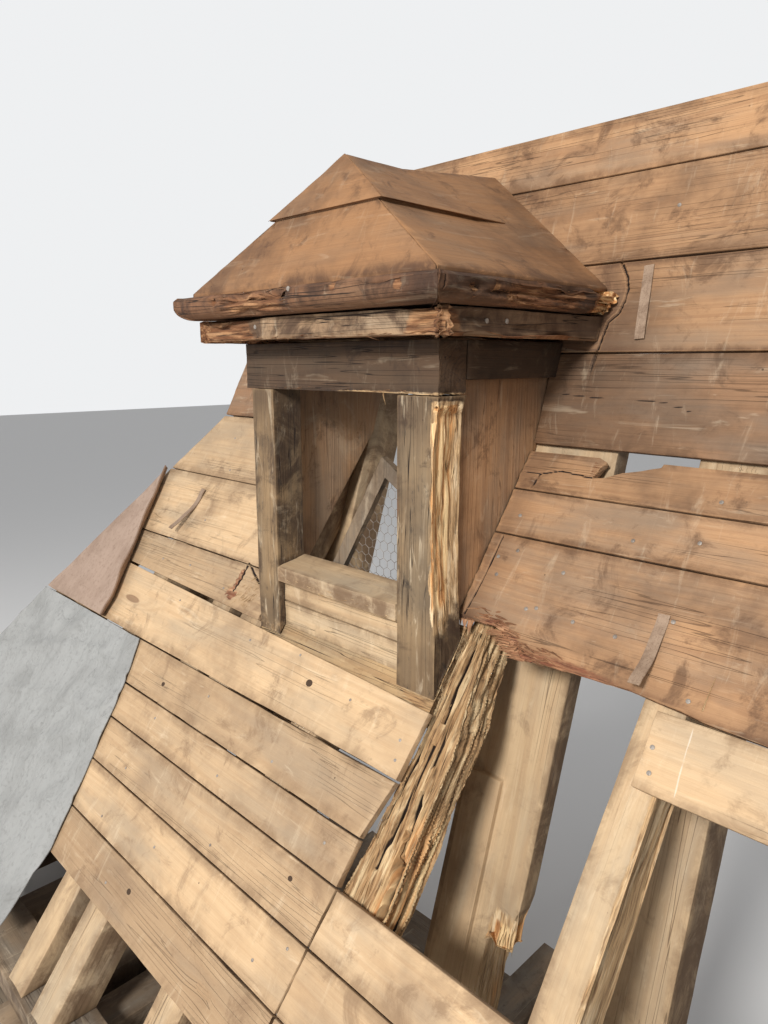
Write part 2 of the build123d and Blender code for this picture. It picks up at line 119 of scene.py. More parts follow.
@contextlib.contextmanager
def editing(piece):
    """Holds a piece's mesh open for editing, all of it selected."""
    select_only(piece)
    bpy.ops.object.mode_set(mode="EDIT")
    bpy.ops.mesh.select_all(action="SELECT")
    yield
    bpy.ops.object.mode_set(mode="OBJECT")


def cut(place, direction, **options):
    """Cuts all of the mesh that is being edited by a plane."""
    bpy.ops.mesh.select_all(action="SELECT")
    bpy.ops.mesh.bisect(plane_co=place, plane_no=direction, **options)


# Camera, floor and light
def make_camera():
    data = bpy.data.cameras.new("camera")
    data.sensor_width = SENSOR
    data.lens = FOCAL_PIXELS / PHOTO_HEIGHT * SENSOR
    data.clip_start = 0.05
    turn = (math.radians(90 - CAMERA_DIP), 0, math.radians(CAMERA_TURN))
    bpy.context.scene.camera = placed("camera", data, CAMERA_PLACE, turn)


def area_light(name, place, target, size, power):
    data = bpy.data.lights.new(name, "AREA")
    data.shape = "DISK"
    data.size = size
    data.energy = power
    placed(name, data, place, (Vector(target) - Vector(place)).to_track_quat("-Z", "Y").to_euler())


def make_stage():
    floor = new_shape(bpy.ops.mesh.primitive_plane_add, size=FLOOR_WIDTH)
    floor.name = "floor"
    finish = Finish("floor")
    finish.feed("Base Color", colour(*FLOOR_SHADE))
    finish.feed("Roughness", 0.9)
    floor.data.materials.append(finish.material)
    world = bpy.data.worlds.new("studio")
    world.use_nodes = True
    tree = world.node_tree
    soft = tree.nodes["Background"]
    soft.inputs["Color"].default_value = SKY
    soft.inputs["Strength"].default_value = SKY_STRENGTH
    pale = tree.nodes.new("ShaderNodeBackground")
    pale.inputs["Color"].default_value = BACKDROP
    rays = tree.nodes.new("ShaderNodeLightPath")
    seen = rays.outputs["Is Camera Ray"]
    for ray in ("Is Glossy Ray", "Is Transmission Ray"):
        either = tree.nodes.new("ShaderNodeMath")
        either.operation = "MAXIMUM"
        tree.links.new(seen, either.inputs[0])
        tree.links.new(rays.outputs[ray], either.inputs[1])
        seen = either.outputs[0]
    choice = tree.nodes.new("ShaderNodeMixShader")
    for index, socket in enumerate((seen, soft.outputs[0], pale.outputs[0])):
        tree.links.new(socket, choice.inputs[index])
    tree.links.new(choice.outputs[0], tree.nodes["World Output"].inputs["Surface"])
    bpy.context.scene.world = world
    area_light("key", (1.7, -4.8, 4.4), (0.2, 0, 1.6), 1.2, 400)
    area_light("fill", (-4.5, -3.5, 3), (0, 0, 1.4), 4, 90)
    bpy.context.scene.view_settings.view_transform = "Standard"


# Shader writing
def colour(red, green, blue):
    """A colour from its usual 0 to 255 numbers."""
    levels = []
    for level in (red / 255, green / 255, blue / 255):
        levels.append(level / 12.92 if level <= 0.04045 else ((level + 0.055) / 1.055) ** 2.4)
    return (*levels, 1)


class Value:
    """A shader socket that sums and products can be written with."""

    def __init__(self, finish, socket):
        self.finish = finish
        self.socket = socket

    def math(self, operation, first, second=0.0, clamp=False):
        return self.finish.node("Math", {0: first, 1: second}, operation=operation, use_clamp=clamp)

    def __add__(self, other):
        return self.math("ADD", self, other)

    def __radd__(self, other):
        return self.math("ADD", other, self)

    def __sub__(self, other):
        return self.math("SUBTRACT", self, other)

    def __rsub__(self, other):
        return self.math("SUBTRACT", other, self)

    def __mul__(self, other):
        return self.math("MULTIPLY", self, other)

    def __rmul__(self, other):
        return self.math("MULTIPLY", other, self)

    def __pow__(self, other):
        return self.math("POWER", self, other)

    def __abs__(self):
        return self.math("ABSOLUTE", self)

    def kept(self):
        """The value held between 0 and 1."""
        return self.math("ADD", self, 0.0, clamp=True)

    def rise(self, start, end):
        """0 below start and 1 above end, smooth between them, or falling where end is less."""
        low, high, bottom, top = (start, end, 0.0, 1.0) if start < end else (end, start, 1.0, 0.0)
        limits = {"Value": self, "From Min": low, "From Max": high, "To Min": bottom, "To Max": top}
        return self.finish.node("MapRange", limits, interpolation_type="SMOOTHSTEP")


class Finish:
    """One material and the nodes that are added to it."""

    def __init__(self, name):
        self.material = bpy.data.materials.new(name)
        self.material.use_nodes = True
        self.tree = self.material.node_tree
        self.shader = self.tree.nodes["Principled BSDF"]

    def node(self, kind, sockets, output=0, **settings):
        """One socket of a new node, whose own sockets take values or are joined."""
        made = self.tree.nodes.new("ShaderNode" + kind)
        for key, setting in settings.items():
            setattr(made, key, setting)
        for key, given in sockets.items():
            self.join(given, made.inputs[key])
        return Value(self, made.outputs[output])

    def join(self, given, socket):
        if isinstance(given, Value):
            self.tree.links.new(given.socket, socket)
        else:
            socket.default_value = given

    def feed(self, socket, given):
        self.join(given, self.shader.inputs[socket])

    def attribute(self, name, output=2):
        return self.node("Attribute", {}, output, attribute_name=name)

    def stretched(self, place, scale):
        """A place scaled by one number, by one along the grain and one across it, or by three."""
        if not isinstance(scale, tuple):
            scale = (scale, scale, scale)
        elif len(scale) == 2:
            scale = (scale[0], scale[1], scale[1])
        return self.node("VectorMath", {0: place, 1: scale}, operation="MULTIPLY")

    def noise(self, place, scale, detail=2.0, roughness=0.5, distortion=0.0):
        """Noise of a place, finer where its scale is higher."""
        sockets = {"Vector": self.stretched(place, scale), "Scale": 1.0, "Detail": detail,
                   "Roughness": roughness, "Distortion": distortion}
        return self.node("TexNoise", sockets)

    def cells(self, place, scale, output=0):
        """How far the nearest of many scattered points is, or with output 1 that point's colour."""
        return self.node("TexVoronoi", {"Vector": self.stretched(place, scale), "Scale": 1.0}, output)

    def axis(self, place, index):
        return self.node("SeparateXYZ", {0: place}, index)

    def mix(self, factor, first, second):
        return self.node("Mix", {0: factor, 6: first, 7: second}, 2, data_type="RGBA")

    def layered(self, base, *layers):
        """A colour with others laid over it in turn, each by its own share."""
        for share, shade in layers:
            base = self.mix(share, base, shade)
        return base

    def bump(self, height, depth, strength):
        self.feed("Normal", self.node("Bump", {"Height": height, "Distance": depth, "Strength": strength}))


# Timber finishes
RUBBED = colour(232, 212, 180)
PIT = colour(46, 30, 20)
MOULD = colour(44, 40, 36)
KNOT = colour(92, 52, 28)
SPLIT = colour(38, 25, 16)
SEAM = colour(34, 22, 15)
SCRATCH = colour(222, 212, 194)
FRESH = (colour(120, 74, 42), colour(208, 152, 96), colour(240, 210, 158))


def timber(name, shades, rotten, ring=110, ring_strength=0.5, stained=0.4, greyed=0.2,
           spots=0.0, cracks=0.5, knots=0.6, rubs=0.2):
    """Sawn timber with its rings, knots, splits, stains, grey weathering and rot.

    Its shades are the early wood, the late wood, the stain and the grey, and then three of rot.
    """
    early, late, stain, grey = [colour(*shade) for shade in shades]
    rotten = [colour(*shade) for shade in rotten]
    finish = Finish(name)
    grain = finish.attribute("grain", 1)
    tone = finish.attribute("tone")
    rot = finish.attribute("rot")
    seam = finish.attribute("seam")
    edge = finish.attribute("edge")
    place = finish.node("TexCoord", {}, 3)

    knot_cells = finish.cells(grain, (1.3, 5.5))
    knot_pick = finish.node("SeparateColor", {0: finish.cells(grain, (1.3, 5.5), 1)}).rise(0.62, 0.64)
    swirl = knot_cells.rise(0.34, 0.03) * knot_pick
    knot = knot_cells.rise(0.085, 0.065) * knot_pick * knots

    wander = finish.noise(grain, (1.1, 3.0), 1.0) * 0.05 + swirl * 0.045
    across = finish.axis(grain, 1)
    depth = finish.axis(grain, 2)
    radius = (across * across + depth * depth) ** 0.5 + wander
    rings = finish.node("TexNoise", {"W": radius * ring, "Scale": 1.0, "Detail": 1.0}, noise_dimensions="1D")
    latewood = rings.rise(0.42, 0.68)
    fibres = finish.noise(grain, (7.0, 330.0), 3.0, 0.65)
    splits = abs(finish.noise(grain, (1.7, 75.0), 1.0, 0.4) - 0.5).rise(0.012, 0.002)
    split_ground = finish.noise(grain, (1.2, 9.0)).rise(0.58 - cracks * 0.18, 0.66 - cracks * 0.1)
    splits = splits * split_ground * cracks
    blotches = finish.noise(place, 3.2, 5.0, 0.62)
    cloud = finish.noise(grain, (2.2, 9.0), 4.0, 0.6)
    grime = finish.noise(place, 28.0, 4.0, 0.7)
    smears = finish.noise(place, 8.0, 6.0, 0.72, 0.6)
    rubbed = finish.noise(place, (24.0, 5.0), 6.0, 0.7, 0.8).rise(0.56, 0.72) * rubs
    rubbed = rubbed + finish.noise(grain, (5.0, 30.0), 4.0, 0.65, 0.8).rise(0.6, 0.72) * rubs
    pits = finish.cells(place, 26.0).rise(0.08, 0.05) * finish.noise(place, 5.0, 3.0).rise(0.6, 0.66) * 0.7
    mould = finish.noise(place, (24.0, 24.0, 9.0), 7.0, 0.78, 0.5).rise(0.6 - spots * 0.1, 0.68)
    wood = finish.layered(
        early,
        (latewood * ring_strength, late),
        (fibres.rise(0.35, 0.75) * 0.35, late),
        (blotches.rise(0.42, 0.74) * stained, stain),
        ((cloud.rise(0.40, 0.72) * greyed * 1.6 + greyed * 0.3).kept(), grey),
        # The tone holds each piece's own random shade and the darkening added to it: dirt, and painted shade
        # on the cornice
        (tone * 0.42, stain),
        (grime.rise(0.55, 0.8) * 0.3, stain),
        (smears.rise(0.53, 0.68) * stained * 0.8, stain),
        (edge * smears.rise(0.34, 0.58) * 0.85, stain),
        (rubbed, RUBBED),
        (pits, PIT),
        (mould * min(0.85, spots * 1.8), MOULD),
        (knot, KNOT),
        (splits, SPLIT))

    threads = finish.noise(grain, (14.0, 240.0), 4.0, 0.7)
    decay = finish.layered(
        rotten[0],
        (threads.rise(0.3, 0.58), rotten[1]),
        (finish.noise(grain, (7.0, 55.0), 4.0, 0.65).rise(0.46, 0.64) * 0.8, rotten[2]))
    fresh = finish.layered(
        FRESH[0],
        (threads.rise(0.3, 0.6), FRESH[1]),
        (finish.noise(grain, (2.6, 60.0), 4.0, 0.65).rise(0.44, 0.6) * 0.85, FRESH[2]))
    decay = finish.mix((rot + (cloud - 0.5) * 0.5).rise(0.8, 0.95), decay, fresh)
    rot_edge = (rot + (grime - 0.5) * 0.6).rise(0.32, 0.6)
    worn = finish.node("NewGeometry", {}, 7).rise(0.505, 0.55) * 0.25
    dark_seam = (seam + (grime - 0.5) * 0.3).rise(0.3, 0.6).kept()
    pale_mark = (seam * -1.0 + (grime - 0.5) * 0.5).rise(0.25, 0.7).kept()
    wood = finish.layered(wood, (rot_edge, decay), (worn, early), (pale_mark * 0.45, SCRATCH),
                          (dark_seam, SEAM))

    finish.feed("Base Color", wood)
    finish.feed("Roughness", (0.68 + cloud * 0.24 + rot_edge * 0.1).kept())
    finish.feed("Specular IOR Level", 0.3)
    height = latewood * 0.22 + fibres * 0.45 - splits * 1.6 + grime * 0.25 - knot * 0.3
    height = height + threads * rot_edge * 1.5
    finish.bump(height, 0.0022, 0.9)
    return finish.material


def plain_metal(name, shade, dark, roughness, metallic, scale, dents=0.0012):
    """A dull sheet or iron with its stains and dents."""
    finish = Finish(name)
    place = finish.node("TexCoord", {}, 3)
    broad = finish.noise(place, scale, 5.0, 0.62, 0.4)
    fine = finish.noise(place, scale * 11, 3.0, 0.6)
    streaks = finish.noise(place, (scale * 4, scale * 0.6), 5.0, 0.65, 0.4)
    folds = abs(finish.noise(place, (scale * 1.4, scale * 0.7), 4.0, 0.6, 0.8) - 0.5).rise(0.06, 0.0)
    finish.feed("Base Color", finish.layered(
        colour(*shade),
        (broad.rise(0.42, 0.7) * 0.45 + streaks.rise(0.46, 0.7) * 0.2, colour(*dark)),
        (fine.rise(0.5, 0.72) * 0.5, colour(*dark))))
    finish.feed("Metallic", metallic)
    finish.feed("Roughness", (roughness + broad * 0.25).kept())
    finish.bump(broad * 0.6 + fine * 0.15 + folds * 0.3, dents, 0.8)
    return finish.material


make_camera()
make_stage()

RED_ROT = ((48, 29, 21), (130, 82, 58), (190, 144, 108))
PALE_ROT = ((112, 84, 58), (190, 156, 114), (232, 206, 166))
DARK_ROT = ((48, 30, 20), (118, 78, 50), (178, 134, 94))
LOG_ROT = ((66, 46, 31), (168, 132, 92), (224, 196, 152))
WOODS = {
    "skirt": timber("skirt_boarding", ((210, 177, 136), (178, 140, 100), (118, 92, 68), (164, 146, 122)),
                    RED_ROT, ring_strength=0.3, stained=0.7, greyed=0.35, cracks=0.35, rubs=0.2),
    "brown": timber("brown_boarding", ((192, 147, 104), (146, 102, 67), (84, 58, 40), (142, 122, 101)),
                    RED_ROT, ring_strength=0.4, stained=0.85, greyed=0.4, rubs=0.16),
    "dark": timber("dark_boarding", ((158, 118, 84), (114, 78, 52), (64, 46, 32), (124, 108, 92)),
                   RED_ROT, ring_strength=0.4, stained=0.7, greyed=0.4, rubs=0.16),
    "frame": timber("frame_timber", ((206, 176, 136), (168, 132, 94), (108, 84, 62), (168, 154, 132)),
                    PALE_ROT, ring=80, ring_strength=0.35, stained=0.5, greyed=0.35),
    "dormer": timber("dormer_timber", ((166, 136, 98), (118, 92, 64), (62, 46, 34), (130, 116, 95)),
                     PALE_ROT, ring=90, ring_strength=0.45, stained=0.95, greyed=0.3, spots=0.6,
                     cracks=1.0, rubs=0.35),
    # Dark brown for the head beam, the side plates and the knots, darkened further as painted shade of the
    # dormer's eaves
    "dark_shaded": timber("dark_shaded_timber", ((84, 62, 43), (54, 38, 27), (30, 21, 15), (72, 60, 47)),
                     PALE_ROT, ring=90, stained=0.7, greyed=0.3, spots=0.3, cracks=0.9, rubs=0.09),
    "fascia": timber("fascia_timber", ((180, 146, 110), (132, 98, 68), (66, 46, 32), (160, 142, 118)),
                     DARK_ROT, ring_strength=0.4, stained=0.8, greyed=0.4, cracks=1.0, rubs=0.2),
    "cornice": timber("cornice_timber", ((144, 100, 68), (96, 60, 38), (52, 34, 23), (132, 110, 86)),
                      DARK_ROT, ring_strength=0.4, stained=0.75, greyed=0.25, cracks=1.0, rubs=0.1),
    "roof": timber("dormer_roof_timber", ((168, 122, 80), (130, 88, 56), (74, 50, 34), (130, 108, 86)),
                   DARK_ROT, ring=60, ring_strength=0.2, stained=0.8, greyed=0.25, cracks=0.2,
                   knots=0.2, rubs=0.08),
    "base": timber("base_timber", ((150, 126, 98), (108, 86, 64), (70, 54, 40), (120, 112, 100)),
                   PALE_ROT, ring=70, stained=0.6, greyed=0.5, spots=0.2),
    "decayed": timber("decayed_timber", ((196, 162, 116), (150, 112, 72), (92, 66, 44), (150, 136, 112)),
                      LOG_ROT, ring=90, stained=0.5, greyed=0.3, cracks=1.0),
}


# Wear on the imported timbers
LONGEST_GROOVE = 0.6
SHARPEST_SMOOTH = math.radians(38)


def timbers_of(node):
    """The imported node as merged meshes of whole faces, one object for each of its timbers."""
    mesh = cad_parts[node].data.copy()
    mesh.materials.clear()
    with editing(placed(node + "_worn", mesh)):
        bpy.ops.mesh.remove_doubles(threshold=0.00001)
        bpy.ops.mesh.dissolve_limited(angle_limit=math.radians(1))
        bpy.ops.mesh.select_all(action="SELECT")
        bpy.ops.mesh.separate(type="LOOSE")
    return list(bpy.context.selected_objects)


def cut_every(piece, spacing, direction, start=-math.inf, end=math.inf):
    """Cuts a timber's faces at a spacing, all along or between two places, so that they can wear."""
    spread = [vertex.co.dot(direction) for vertex in piece.data.vertices]
    start = max(start, min(spread))
    end = min(end, max(spread))
    count = int((end - start) / spacing)
    step = (end - start) / (count + 1)
    with editing(piece):
        for index in range(count):
            cut(direction * (start + step * (index + 1)), direction)


def keep(piece, name, values, kind="FLOAT"):
    """Stores a value, or a direction, for each point of a piece."""
    layer = piece.data.attributes.new(name, kind, "POINT")
    layer.data.foreach_set("vector" if kind == "FLOAT_VECTOR" else "value", values)


def dress_grain(piece, along, face, rot, dirt_and_shade):
    """Keeps each point's place in its log, its timber's tone with the dirt and painted shade added to it,
    and how rotten it is.
    """
    points = [vertex.co.copy() for vertex in piece.data.vertices]
    middle = sum(points, Vector()) / len(points)
    chance = random.Random(round(middle.x * 977) + round(middle.y * 313) + round(middle.z * 131))
    side = face.cross(along)
    heart = middle + side * chance.uniform(-0.05, 0.05) - face * chance.uniform(0.02, 0.09)
    shift = chance.uniform(-20, 20)
    grain = []
    for point in points:
        place = point - heart
        grain += [place.dot(along) + shift, place.dot(side), place.dot(face)]
    keep(piece, "grain", grain, "FLOAT_VECTOR")
    tone = chance.random() ** 1.5
    keep(piece, "tone", [tone + dirt_and_shade(point) for point in points])
    keep(piece, "rot", [rot(point) for point in points])
    reach = [point.dot(side) for point in points]
    low, high = min(reach), max(reach)
    keep(piece, "edge", [1 - swell(min(width - low, high - width), 0.0, 0.02) for width in reach])
    return chance.uniform(-30, 30)


def from_line(place, line):
    """How far a place is from a broken line."""
    nearest = math.inf
    for first, second in zip(line, line[1:]):
        run = second - first
        share = min(1.0, max(0.0, (place - first).dot(run) / run.length_squared))
        nearest = min(nearest, (place - first - run * share).length)
    return nearest


def wear(piece, along, face, seed, rough, chip, fray, rot_depth, scars, grooves):
    """Sinks a timber's faces unevenly and bites its edges, ends and rotten parts, never outwards.

    A groove is dark. Where its depth is below 0, it is a pale scratch instead.
    """
    mesh = piece.data
    marks = [0.0] * len(mesh.vertices)
    side = face.cross(along)
    spread = [vertex.co.dot(side) for vertex in mesh.vertices]
    middle, half = (max(spread) + min(spread)) / 2, (max(spread) - min(spread)) / 2
    decay = mesh.attributes["rot"].data
    moves = []
    for index, vertex in enumerate(mesh.vertices):
        run, width, thick = vertex.co.dot(along), vertex.co.dot(side), vertex.co.dot(face)
        slow = noise((run * 2.3 + seed, width * 9, thick * 9))
        fine = noise((run * 14, width * 55 + seed, thick * 55))
        bite = max(0.0, noise((run * 6.5, seed, width * 2)) - 0.12)
        bite += 0.12 * abs(noise((run * 31, seed, 7)))
        sink = rough * (0.3 + 0.5 * slow + 0.3 * fine)
        sink += rough * abs(vertex.normal.dot(face)) * max(0.0, 1 - ((width - middle) / half) ** 2)
        sink += chip * bite * abs(vertex.normal.dot(side))
        sink += fray * abs(vertex.normal.dot(along)) * (0.3 + noise((width * 60, seed, thick * 60)))
        rotted = decay[index].value
        if rotted > 0:
            threads = noise((run * 4, width * 75 + seed, thick * 75))
            threads += 0.6 * noise((run * 12, width * 170, seed))
            groove = max(0.0, 0.16 - abs(noise((run * 2.6, width * 48 - seed, thick * 48)))) * 6
            sink += rotted * rot_depth * (0.45 + 0.6 * threads + 0.7 * groove)
        for place, length, breadth, depth in scars:
            off = vertex.co - place
            away = off.dot(along)
            reach = (away / length) ** 2 + (off.length_squared - away ** 2) / breadth ** 2
            if reach < 4:
                sink += depth * math.exp(-reach) * (0.75 + fine)
        for line, breadth, depth in grooves:
            if (vertex.co - line[0]).length < LONGEST_GROOVE:
                share = 1 - swell(from_line(vertex.co, line), breadth * 0.5, breadth * 1.3)
                sink += depth * share
                marks[index] = marks[index] or (share if depth > 0 else -share)
        moves.append(vertex.normal * max(0.0, sink))
    for vertex, move in zip(mesh.vertices, moves):
        vertex.co -= move
    if grooves:
        keep(piece, "seam", marks)


def sound(place):
    return 0.0


def lengthways(piece):
    """The level direction in which a piece is longest."""
    corners = [Vector(corner) for corner in piece.bound_box]
    size = corners[6] - corners[0]
    return EAST if size.x > size.y else INWARD


def dress(node, kind, along, face, spacing, rough=0.0012, chip=0.0026, fray=0.004, arris=0.0025, rot=sound,
          dirt_and_shade=sound, rot_depth=0.008, scars=(), closer=(), grooves=(), corner=None, skin=0.0):
    """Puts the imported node's timbers, worn, in one piece that stands for them.

    The spacing is of the cuts along, across and through. A skin is of small even faces, for deep wear.
    """
    slot, wood = kind
    parts = timbers_of(node)
    if corner:
        parts = [run for part in parts for run in mitred_runs(part, corner)]
    for part in parts:
        grain = along or lengthways(part)
        changed(part, "BEVEL", width=arris, segments=2, limit_method="ANGLE", angle_limit=math.radians(30))
        if skin:
            changed(part, "REMESH", mode="VOXEL", voxel_size=skin)
            grooves = [([dropped(part, place, face) for place in line], breadth, depth)
                       for line, breadth, depth in grooves]
        else:
            for step, direction in zip(spacing, (grain, face.cross(grain), face)):
                cut_every(part, step, direction)
            for step, direction, start, end in closer:
                cut_every(part, step, direction, start, end)
        seed = dress_grain(part, grain, face, rot, dirt_and_shade)
        wear(part, grain, face, seed, rough, chip, fray, rot_depth, scars, grooves)
    finished(joined(parts, node + "_worn"), slot, WOODS[wood], node)


def dropped(piece, place, face):
    """The place on a piece's surface straight under another."""
    met, hit = piece.ray_cast(place + face * 0.1, -face)[:2]
    return hit if met else place


def mitred_runs(piece, corner):
    """A cornice parted at its mitres into the front run and the two side runs."""
    across = {side: Vector((side, 1, 0)).normalized() for side in (-1, 1)}
    runs = []
    for side in (0, -1, 1):
        run = placed(piece.name, piece.data.copy())
        with editing(run):
            for other in (-1, 1):
                if side in (0, other):
                    cut((corner[0] * other, corner[1], 0), across[other], use_fill=True,
                        clear_outer=side == 0, clear_inner=side == other)
        runs.append(run)
    bpy.data.objects.remove(piece)
    return [run for run in runs if run.data.polygons]


def finished(piece, slot, material, *nodes):
    """Gives a piece its material and shading, and puts it on the model's body."""
    piece.data.materials.clear()
    piece.data.materials.append(material)
    select_only(piece)
    bpy.ops.object.shade_smooth_by_angle(angle=SHARPEST_SMOOTH)
    if nodes:
        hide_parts(*nodes)
    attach(piece, "root")


# Places on the roof
def on_skirt(x, down, lift=0.0):
    """A place on the skirt boards' face, from its distance below the knee."""
    return KNEE + EAST * x - UP_SKIRT * down + OFF_SKIRT * lift


def on_spire(x, climb, lift=0.0):
    return KNEE + EAST * x + UP_SPIRE * climb + OFF_SPIRE * lift


def below_knee(place):
    """How far down the skirt a place is."""
    return -(place - KNEE).dot(UP_SKIRT)


def between(value, points):
    """The height of a broken line at a value."""
    for (first, low), (second, high) in zip(points, points[1:]):
        if value <= second:
            share = max(0.0, (value - first) / (second - first))
            return low + (high - low) * share
    return points[-1][1]


def swell(value, start, end):
    """0 at start, 1 at end and beyond, smooth between them."""
    share = min(1.0, max(0.0, (value - start) / (end - start)))
    return share * share * (3 - 2 * share)


# Broken lines
LEFT_CRACK = ((0.54, -0.56), (0.555, -0.538), (0.585, -0.543), (0.614, -0.542), (0.653, -0.551),
              (0.68, -0.56))
TORN_END = ((0.509, 0.45), (0.54, 0.51), (0.564, 0.545))
TORN_FOOT = ((0.333, 0.515), (0.374, 0.513), (0.45, 0.509), (0.51, 0.54), (0.545, 0.564), (0.7, 0.558),
             (0.805, 0.553), (0.96, 0.566), (1.7, 0.568))
LEAD_EDGE = ((0.932, -0.886), (1.071, -0.838), (1.19, -0.813), (1.332, -0.788), (1.471, -0.758),
             (1.615, -0.738), (1.884, -0.775))
OLD_EDGE = ((0.284, -1.314), (0.557, -1.246), (0.685, -1.208), (0.848, -1.165), (0.925, -1.169))

# Rot, as a share at each place; the highest shares are bright and fresh
EAVE_HOLES = [Vector((x, EAVE_FRONT, z)) for x, z in ((0.183, 2.289), (0.384, 2.277), (-0.3, 2.28))]
EAVE_HOLES += [Vector((EAVE_SIDE, y, z)) for y, z in ((-0.084, 2.272), (-0.011, 2.275), (0.33, 2.278))]


def rot_in_right_boards(place):
    """Reddish and crumbling along the lowest board's torn foot."""
    inside = between(place.x, TORN_FOOT) - below_knee(place)
    red = swell(place.x, 0.36, 0.46) * (1 - swell(place.x, 0.66, 0.86))
    return (1 - swell(inside, 0.0, 0.02 + 0.035 * red)) * (0.3 + 0.45 * red)


def rot_in_left_boards(place):
    """Red beside the crack by the left post's foot, bright and fibrous between the crack and the post."""
    down = below_knee(place)
    ragged = 0.01 * noise(place * 40) + 0.006 * noise(place * 110)
    crack = between(down, LEFT_CRACK)
    foot = 0.66 + 0.42 * (place.x + 0.53) + ragged
    fibrous = swell(place.x, crack, crack + 0.006) * swell(down, 0.565, 0.6)
    fibrous *= 1 - swell(down, foot - 0.006, foot + 0.004)
    beside = 1 - swell(abs(place.x - crack + 0.007) + 1.6 * ragged, 0.004, 0.016)
    low_red = 1 - swell(math.hypot((place.x + 0.556) * 0.6, down - 0.667) + 1.5 * ragged, 0.01, 0.026)
    beside = 0.55 * beside * swell(down, 0.56, 0.58) * swell(down, 0.67, 0.65)
    return max(0.3 * fibrous, beside, 0.62 * low_red)


def rot_in_right_post(place):
    """The outer side and corner of the post, hollowed to bright fibres."""
    tall = swell(place.z, 1.42, 1.6)
    edge = 0.333 + 0.012 * noise((place.z * 14, 3, 1)) + 0.012 * (1 - tall)
    front = 1 - 0.4 * swell(place.y, 0.035 - 0.07 * (2.02 - place.z), 0.05 - 0.05 * (2.02 - place.z))
    return swell(place.x, edge, edge + 0.008) * (0.25 + 0.75 * tall) * front * swell(place.z, 2.05, 2.025)


def rot_in_left_post(place):
    return 0.35 * swell(place.z, 1.5, 1.36)


def rot_in_head(place):
    """Its torn lower edge."""
    return 0.6 * swell(place.z, 2.068, 2.052) * swell(place.x, -0.1, 0.1)


def rot_in_eaves(place):
    """The back end of the right run, and the front edge's split middle."""
    back = swell(place.y, 0.36, 0.43) * swell(place.x, 0.3, 0.45)
    front = swell(place.y, -0.15, -0.2) * (1 - swell(abs(place.x + 0.13), 0.08, 0.17))
    front *= swell(place.z, 2.305, 2.29)
    right = swell(place.x, 0.44, 0.49) * (1 - swell(abs(place.y - 0.18), 0.1, 0.2))
    right *= swell(place.z, 2.3, 2.285)
    holes = max(1 - swell((place - hole).length, 0.008, 0.018) for hole in EAVE_HOLES)
    return max(back, 0.7 * front, 0.7 * right, 0.7 * holes)


def rot_in_fascia(place):
    """The right corner and the left end."""
    corner = 0.8 * (1 - swell((place - Vector((0.42, FASCIA_FRONT, 2.19))).length, 0.04, 0.11))
    end = 0.7 * (1 - swell((place - Vector((-0.4, FASCIA_FRONT, 2.2))).length, 0.1, 0.28))
    foot = 0.6 * swell(place.z, 2.186, 2.178)
    return max(corner, end, foot)


def rot_in_log(place):
    """Fibrous all along, brighter on the right of its foot."""
    return 0.6 + 0.3 * swell(below_knee(place), 0.75, 1.05) * swell(place.x, 0.38, 0.43)


def rot_in_right_rafters(place):
    """The foot of the plank beside the dormer's rafter."""
    return (1 - swell(place.z, 0.72, 0.82)) * swell(place.x, 0.49, 0.5) * (1 - swell(place.x, 0.6, 0.62))


def rot_in_broad_rafter(place):
    """Its eroded right arris."""
    return 0.8 * swell(place.x, 0.902, 0.918) * swell(below_knee(place), 0.6, 0.75)


def rot_in_header(place):
    return 0.35 + 0.4 * swell(place.x, 0.2, 0.36)


# Darkening added to each timber's own tone: dirt, and painted shade on the cornice
def dirt_on_right_boards(place):
    """Along the torn foot and beside the dormer."""
    down = below_knee(place)
    return 1.3 * swell(down, 0.44, 0.55) * (0.6 + noise(place * 9)) + 0.9 * swell(place.x, 0.45, 0.34)


def dirt_on_front_boards(place):
    """The lowest board, and the edge beside the log."""
    return 0.7 * swell(below_knee(place), 1.47, 1.5) + 0.5 * swell(place.x, 0.18, 0.34)


# Darker beside the dormer, low on the knee and spire boards
def darker_by_dormer(place):
    return 1.1 * swell(abs(place.x), 0.75, 0.4) * swell(place.z, 2.5, 2.2)


def darker_at_wall_top_and_foot(place):
    """Darker at the top of the dormer's walls, under the eaves, and at their foot."""
    return 1.1 * swell(place.z, 1.85, 2.05) + 0.6 * swell(place.z, 1.5, 1.38)


def painted_shade_on_cornice(place):
    """Painted shade: a cast shadow over the right side, and shade over the lower part."""
    return 1.2 * swell(place.x, 0.3, 0.45) + 0.6 * swell(place.z, 2.25, 2.2)


def grooves_at(place, *rows):
    """Grooves from rows of a breadth, a depth and the places along a line."""
    return [([place(*spot) for spot in line], breadth, depth) for breadth, depth, *line in rows]


# Scars: the place, the length and breadth of its fade, and the depth
eave_splits = [(Vector((x, EAVE_FRONT, z)), length, 0.007, 0.022) for x, z, length in (
    (-0.2, 2.296, 0.06), (-0.11, 2.288, 0.07), (-0.06, 2.292, 0.05), (-0.17, 2.276, 0.09),
    (-0.02, 2.281, 0.05), (0.3, 2.29, 0.05))]
eave_splits += [(Vector((EAVE_SIDE, y, z)), length, 0.007, 0.022) for y, z, length in (
    (-0.09, 2.274, 0.03), (0.05, 2.264, 0.09), (0.19, 2.28, 0.1), (0.25, 2.262, 0.08), (0.3, 2.288, 0.06),
    (-0.15, 2.25, 0.05))]
fascia_splits = [(Vector((x, FASCIA_FRONT, z)), length, 0.006, 0.014) for x, z, length in (
    (-0.38, 2.215, 0.04), (-0.25, 2.19, 0.05), (0.03, 2.225, 0.03), (0.12, 2.212, 0.06), (-0.1, 2.2, 0.03))]
